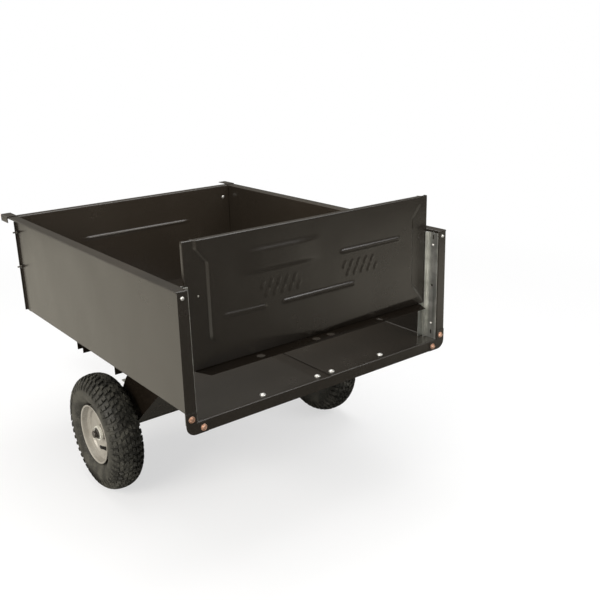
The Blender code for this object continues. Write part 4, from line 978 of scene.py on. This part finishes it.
# The split pin's wire in millimetres: (distance from the pin's middle, height)
SPLIT_PIN = (
    (0.6, 148), (0.6, 177.2), (2, 178.8), (3, 180.6), (1.8, 182.4), (0, 182.6), (-1.8, 182.4),
    (-3, 180.6), (-2, 178.8), (-0.6, 177.2), (-0.6, 152), (-2.8, 148))
SPLIT_PIN_WIRE = 0.00075
WASHER_BORE, WASHER_RADIUS, WASHER_EDGE = 10.4, 14.2, 0.6


def tread_pitch(lean):
    """One pitch of the tread: slanted blocks and shoulder lugs, laid on the tyre's round."""
    bm = bmesh.new()
    step = 2 * math.pi / TREAD_PITCHES

    def surface(x):
        power = CROWN_POWER
        rounded = (1 - min(1.0, abs(x) / CROWN_HALF_WIDTH) ** power) ** (1 / power)
        return TYRE_RADIUS - TREAD_DEPTH - CROWN_DROP * (1 - rounded)

    for mirror, half_pitch in ((-1, 0.0), (1, 0.5)):
        for outline, extra, tall in TREAD_BLOCKS:
            cx = sum(x for x, _ in outline) / 4
            ct = sum(t for _, t in outline) / 4
            rings = []
            for shrink, rise in ((1.02, -0.0020), (0.84, TREAD_DEPTH * tall)):
                ring = []
                for x, t in outline:
                    px = cx + (x - cx) * shrink
                    angle = (ct + (t - ct) * shrink + half_pitch + extra) * step * lean
                    radius = surface(px) + rise
                    spot = (mirror * px, radius * math.sin(angle), radius * math.cos(angle))
                    ring.append(bm.verts.new(spot))
                rings.append(ring)
            bridge(bm, *rings)
            bm.faces.new(rings[1])
            bm.faces.new(list(reversed(rings[0])))
    outward(bm)
    return bm


def tyre_rule():
    """A ring of carcass with ribbed sidewalls, and one tread pitch repeated round it."""
    tree, take = new_rule("tyre_by_rule", {
        "Axle": "Geometry", "Pitch": "Object", "Pitches": "Int", "Steps": "Int",
        "Bead Radius": "Float", "Crown Radius": "Float", "Half Width": "Float",
        "Rib Height": "Float", "Rubber": "Material"}, "Tyre")
    math_node = tree.math
    net = tree.geo("MeshGrid", Size_X=1.0, Size_Y=1.0, Vertices_X=take["Steps"] + 1,
                   Vertices_Y=SECTION_STEPS + 1)
    net_x, net_y, _ = tree.parts(tree.geo("InputPosition"))
    turn, section = ((part + 0.5) * (2 * math.pi) for part in (net_x, net_y))
    across, up = math_node("COSINE", section), math_node("SINE", section)
    bead_radius, crown_radius = take["Bead Radius"], take["Crown Radius"]
    middle = (crown_radius + bead_radius) * 0.5
    tall = (crown_radius - bead_radius) * 0.5
    crown = math_node("GREATER_THAN", up, 0.0)

    def squared(value, power):
        """A sine or cosine drawn out, for a section that is squarer than a circle."""
        size = math_node("POWER", math_node("ABSOLUTE", value), power)
        return math_node("SIGN", value) * size

    radius = middle + tall * squared(up, 0.78 + 0.09 * crown)
    share = (radius - bead_radius) / (tall * 2.0)
    wave = math_node("MAXIMUM", math_node("SINE", share * 44.0) - 0.35, 0.0)
    ribbed = wave * math_node("LESS_THAN", share, 0.46) * math_node("GREATER_THAN", share, 0.10)
    narrow = 1.0 - 0.16 * math_node("MAXIMUM", 0.35 - share, 0.0) / 0.35
    width = take["Half Width"] * narrow + take["Rib Height"] * ribbed
    ring = tree.vector(squared(across, 0.62 + 0.25 * crown) * width,
                       radius * math_node("COSINE", turn), radius * math_node("SINE", turn))
    body = tree.geo("SetPosition", Geometry=net, Position=ring)
    body = tree.geo("MergeByDistance", Geometry=body, Distance=0.00002)
    points = tree.geo("Points", Count=take["Pitches"], Position=(0, 0, 0))
    angle = tree.geo("InputIndex") * (2 * math.pi) / take["Pitches"]
    facing = tree.node("FunctionNodeEulerToRotation", tree.vector(angle))
    tread = copies(tree, points, take["Pitch"], facing)
    both = tree.tree.nodes.new("GeometryNodeJoinGeometry")
    for part in (body, tread):
        tree.join(both.inputs[0], part)
    return end_rule(tree, Wire(tree, both.outputs[0]), take["Rubber"])


tyre_by_rule = tyre_rule()


def tyre(prefix, side):
    pattern = from_bmesh(tread_pitch(side), prefix + "_tread_pitch", 30)
    values = {"Pitch": pattern, "Pitches": TREAD_PITCHES, "Steps": 132, "Bead Radius": 0.0805,
              "Crown Radius": TYRE_RADIUS - TREAD_DEPTH + 0.0006, "Half Width": 0.0448,
              "Rib Height": 0.0011, "Rubber": rubber.material}
    name = prefix + "_tyre_axis"
    base = new_object(name, bpy.data.meshes.new(name))
    obj = grown(prefix + "_treaded_tyre", base, tyre_by_rule, values, 32)
    bpy.data.objects.remove(pattern)
    obj.data.transform(Matrix.Translation((side * WHEEL_X, AXLE_Y, AXLE_Z)))
    settle(obj, rubber, prefix + "_wheel", prefix + "_tyre")


def wheel(prefix, side):
    """Tyre, dished rim, bearing with its bright ring and its seal, and the leaning valve."""
    body = prefix + "_wheel"
    tyre(prefix, side)
    for name, section, steps, finish, nodes in (
            ("_dished_rim", RIM_SKIN, 120, silver, [prefix + "_rim"]),
            ("_bearing", BEARING, 64, silver, [prefix + "_hub_bearing"]),
            ("_bearing_race", RACE, 64, race_steel, ()),
            ("_bearing_seal", SEAL, 64, moulded, ())):
        ring = turned(prefix + name, section, (side * WHEEL_X, AXLE_Y, AXLE_Z), side, steps)
        settle(ring, finish, body, *nodes)
    spot = (side * WHEEL_X, AXLE_Y + VALVE_PLACE[0], AXLE_Z + VALVE_PLACE[1])
    valve = turned(prefix + "_tyre_valve", VALVE_STEM, spot, side, 24)
    for vert in valve.data.vertices:
        along = abs(vert.co.x) - WHEEL_X - VALVE_FOOT
        vert.co.y += VALVE_LEAN[0] * along
        vert.co.z += VALVE_LEAN[1] * along
    settle(valve, moulded, body, prefix + "_valve_stem")


def axle_ends():
    """The washer and the split pin at each end of the axle."""
    for prefix, side in SIDES:
        low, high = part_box(prefix + "_axle_washer")
        inner, outer = sorted((1000 * abs(low.x), 1000 * abs(high.x)))
        shoulder = WASHER_RADIUS - WASHER_EDGE
        ring = [(inner, WASHER_BORE), (inner, shoulder), (inner + WASHER_EDGE, WASHER_RADIUS),
                (outer - WASHER_EDGE, WASHER_RADIUS), (outer, shoulder), (outer, WASHER_BORE)]
        washer = turned(prefix + "_washer", ring, (0, AXLE_Y, AXLE_Z), side, 48)
        settle(washer, dark_zinc_and_shade, "chassis", prefix + "_axle_washer")
        low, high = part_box(prefix + "_cotter_pin")
        middle = (low + high) / 2
        curve = bpy.data.curves.new(prefix + "_split_pin_line", "CURVE")
        curve.dimensions = "3D"
        line = curve.splines.new("POLY")
        line.points.add(len(SPLIT_PIN) - 1)
        for point, (x, z) in zip(line.points, np.array(SPLIT_PIN) / 1000):
            point.co = (middle.x + x, middle.y, z, 1)
        curve.bevel_depth = SPLIT_PIN_WIRE
        curve.bevel_resolution = 2
        curve.use_fill_caps = True
        pin = plain(new_object(prefix + "_split_pin_line", curve), prefix + "_split_pin", 60)
        settle(pin, zinc, "chassis", prefix + "_cotter_pin")


# Weld beads

def weld_rule():
    """Overlapping flat drops along a seam."""
    tree, take = new_rule("weld_beads", {
        "Seam": "Geometry", "Spacing": "Float", "Bead Radius": "Float", "Seed": "Int",
        "Finish": "Material"}, "Weld")
    seam = tree.geo("MeshToCurve", Mesh=take["Seam"])
    points = tree.geo("CurveToPoints", Curve=seam, Length=take["Spacing"],
                      settings={"mode": "LENGTH"})
    drop = tree.geo("MeshIcoSphere", Radius=1.0, Subdivisions=2)
    chance = tree.node("FunctionNodeRandomValue", None, None, 0.85, 1.15, Seed=take["Seed"],
                       output=1, settings={"data_type": "FLOAT"})
    size = take["Bead Radius"] * chance
    drops = tree.geo("InstanceOnPoints", Points=points, Instance=drop,
                     Scale=tree.vector(size, size, size * 0.8))
    return end_rule(tree, drops, take["Finish"])


def weld_seams():
    """The chassis welds: drawbar to carrier, braces, saddle and brackets."""
    corners, edges = [], []

    def seam(first, second):
        edges.append((len(corners), len(corners) + 1))
        corners.extend((first, second))

    def along(x, z, low, high, short):
        """A weld that runs forward and stops short of both ends."""
        seam((x, low + short, z), (x, high - short, z))

    for prefix, side in SIDES:
        low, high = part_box("leg_bracket")
        along(side * 0.0152, high.z - 0.0004, low.y, high.y, 0.003)
        low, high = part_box("latch_bracket")
        along(side * high.x, DRAWBAR_TOP + 0.0006, low.y, high.y, 0.003)
        low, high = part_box("drawbar_saddle")
        along(side * DRAWBAR_WELD_X, high.z, low.y, high.y, 0.004)
        low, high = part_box("tow_tongue")
        along(side * DRAWBAR_WELD_X, low.z, low.y, low.y + 0.077, 0.001)
        low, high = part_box(prefix + "_drawbar_brace")
        inner = low.x if side > 0 else high.x
        seam((inner, high.y + 0.0004, low.z + 0.002), (inner, high.y + 0.0004, high.z - 0.002))
        low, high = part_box(prefix + "_hinge_stand")
        for y in (low.y, high.y):
            seam((low.x + 0.001, y, low.z), (high.x - 0.001, y, low.z))
    mesh = bpy.data.meshes.new("weld_lines")
    mesh.from_pydata(corners, edges, [])
    values = {"Spacing": 0.0019, "Bead Radius": 0.0019, "Seed": 7, "Finish": weld.material}
    obj = grown("chassis_welds", new_object("weld_lines", mesh), weld_rule(), values, 60)
    settle(obj, weld, "chassis")


# CAD pieces that are kept in shape, but for these small changes

def left_channel(co):
    """The left channel's rear edge, drawn forward of the post's flange."""
    return co + Vector((0, 0.0016, 0)) if co.y < -0.7420 else co


def right_channel(co):
    """The right channel's seen flange, cut narrower."""
    return co + Vector((0.0085, 0, 0)) if co.x < 0.362 and co.y < -0.705 else co


def slanted_end(co):
    """The middle brace's rear flange, cut on a slant at both ends."""
    if co.y < -0.3500 and co.z < 0.3800 and abs(co.x) > 0.3700:
        return Vector((math.copysign(0.3450, co.x), co.y, co.z))
    return co


RESHAPED = {"left_gate_channel": left_channel, "right_gate_channel": right_channel,
            "middle_floor_brace": slanted_end}
KEPT_PIECES = (
    (zinc, 0.00035, both_names("gate_channel")),
    (coat, 0.0004, both_names("rear_gusset") + ["latch_striker"]),
    # Hinge ears and floor braces under the bed: the darker copy of the coat, painted shade.
    (shaded_coat, 0.0004, both_names("hinge_ear")
     + ["rear_floor_brace", "front_floor_brace", "middle_floor_brace"]),
    # The chassis under the bed: the darker copy of the coat, painted shade.
    (shaded_coat, 0.0007, ["axle_carrier", "drawbar", "drawbar_saddle",
                          *both_names("drawbar_brace"), "tow_tongue", *both_names("hinge_stand"),
                          "latch_bracket", "leg_bracket"]),
    (zinc, 0.0008, ["latch_lever", "parking_leg"]))


# Putting the trailer together

for prefix, side in SIDES:
    side_sheet(prefix, side)
    front_cap(prefix, side)
front_wall()
tailgate()
gate_lip()
bed_bolts()
chassis_pins()
for prefix, side in SIDES:
    wheel(prefix, side)
axle_ends()
weld_seams()
for finish, width, nodes in KEPT_PIECES:
    for node in nodes:
        refined(node, finish, width, reshape=RESHAPED.get(node))
refined("axle", dark_zinc_and_shade, 0.0003, segments=1, smooth_under=30)


# Floor, light and camera

FLOOR_HALF = 30
FLOOR_GREY = 0.86
FLOOR_FADE = (0.9, 3.0)
WORLD_LEVEL = 0.5
WARM, WHITE = (1.0, 0.96, 0.90), (1.0, 1.0, 1.0)
SOFTBOXES = (
    ("left_softbox", (-3.2, -0.9, 2.1), (-0.2, -0.2, 0.45), (2.4, 2.0), 95, WARM, True),
    ("top_softbox", (0.4, 0.2, 3.4), (0.0, -0.2, 0.4), (2.6, 2.6), 75, WHITE, True),
    ("bed_softbox", (0.0, -0.62, 1.00), (0.05, 0.27, 0.98), (0.6, 0.3), 9, WARM, False),
    ("rear_softbox", (1.6, -3.0, 2.6), (0.3, -0.4, 0.5), (2.0, 1.6), 45, WHITE, True))
CAMERA_PLACE = (-1.1571, -2.13725, 1.184)
CAMERA_TURN = (37.53, 18.11, -1.54)
CAMERA_LENS = 47.57


def white_floor():
    """A pale floor that keeps the soft shadow and fades into the white round it.

    Mirrored in the paint it is dim and warm, with bright patches where the photograph has them.
    """
    bm = bmesh.new()
    bmesh.ops.create_grid(bm, x_segments=1, y_segments=1, size=FLOOR_HALF)
    obj = from_bmesh(bm, "studio_floor")
    pale = Finish("pale_floor", None, Base_Color=(FLOOR_GREY, FLOOR_GREY, FLOOR_GREY, 1),
                  Roughness=0.9, Specular_IOR_Level=0.1)
    fade = pale.step(pale.measure("LENGTH", pale.place), *FLOOR_FADE, 0.60, 1.0)
    camera, shiny = pale.rays("Camera"), pale.rays("Glossy")
    beside = pale.step(pale.parts(pale.place)[0], -0.62, -0.44, 1.0, 0.0)
    bright = 0.14 + camera
    for centre, full, none, part in (((1.95, -2.00, 0), 0.35, 1.30, 1.0),
                                     ((-1.05, 1.30, 0), 1.15, 3.8, beside),
                                     ((-1.75, -2.05, 0), 0.50, 1.15, 1.0)):
        away = pale.measure("DISTANCE", pale.place, centre)
        bright = bright + part * pale.step(away, full, none, 0.86, 0.0)
    bright = pale.math("MINIMUM", bright, 1.0)
    warmth = 1.0 - camera
    shade = pale.colour(bright, bright * (1.0 - 0.06 * warmth), bright * (1.0 - 0.21 * warmth))
    white = pale.node("ShaderNodeEmission", shade, 1.0)
    share = pale.math("MINIMUM", fade * camera + shiny, 1.0)
    lit = Wire(pale, pale.shader.outputs[0])
    mixed = pale.node("ShaderNodeMixShader", share, lit, white)
    pale.join(pale.tree.nodes["Material Output"].inputs["Surface"], mixed)
    obj.data.materials.append(pale.material)


def white_world():
    """White to the camera, dim as a light, and uneven and warm where mirrored."""
    world = bpy.data.worlds.new("white_surround")
    bpy.context.scene.world = world
    world.use_nodes = True
    tree = Tree(world.node_tree)
    seen = tree.math("MINIMUM", tree.rays("Camera") + tree.rays("Transmission"), 1.0)
    x, _, z = tree.parts(tree.node("ShaderNodeTexCoord", output="Generated"))
    across = tree.step(x, -0.6, 0.3, 0.9, 0.0)
    above = tree.step(z, 0.50, 0.80, 0.0, 0.6)
    mirrored = tree.math("MINIMUM", tree.math("MAXIMUM", across, above) + 0.20, 1.0)
    shiny = tree.rays("Glossy")
    level = WORLD_LEVEL + (1.0 - WORLD_LEVEL) * seen + shiny * (mirrored - WORLD_LEVEL)
    background = world.node_tree.nodes["Background"]
    tree.join(background.inputs["Color"],
              tree.colour(1.0, 1.0 - 0.05 * shiny, 1.0 - 0.16 * shiny))
    tree.join(background.inputs["Strength"], level)


def softbox(name, place, target, size, power, tint, mirrored):
    lamp = bpy.data.lights.new(name, "AREA")
    lamp.shape = "RECTANGLE"
    lamp.size, lamp.size_y = size
    lamp.energy = power
    lamp.color = tint
    obj = new_object(name, lamp)
    obj.location = place
    obj.rotation_euler = (Vector(target) - Vector(place)).to_track_quat("-Z", "Y").to_euler()
    obj.visible_camera = False
    obj.visible_glossy = mirrored


def studio_camera():
    """The camera as it was fitted to the photograph, with its small roll."""
    az, el, roll = map(math.radians, CAMERA_TURN)
    ahead = Vector((math.sin(az) * math.cos(el), math.cos(az) * math.cos(el), -math.sin(el)))
    right = ahead.cross(Vector((0, 0, 1))).normalized()
    up = right.cross(ahead)
    turned_right = math.cos(roll) * right + math.sin(roll) * up
    turned_up = math.cos(roll) * up - math.sin(roll) * right
    camera = bpy.data.cameras.new("photo_camera")
    camera.lens = CAMERA_LENS
    camera.sensor_width = 36
    obj = new_object("photo_camera", camera)
    axes = Matrix((turned_right, turned_up, -ahead)).transposed().to_4x4()
    obj.matrix_world = Matrix.Translation(CAMERA_PLACE) @ axes
    bpy.context.scene.camera = obj


white_floor()
white_world()
for lamp in SOFTBOXES:
    softbox(*lamp)
bpy.context.scene.view_settings.view_transform = "Standard"
studio_camera()
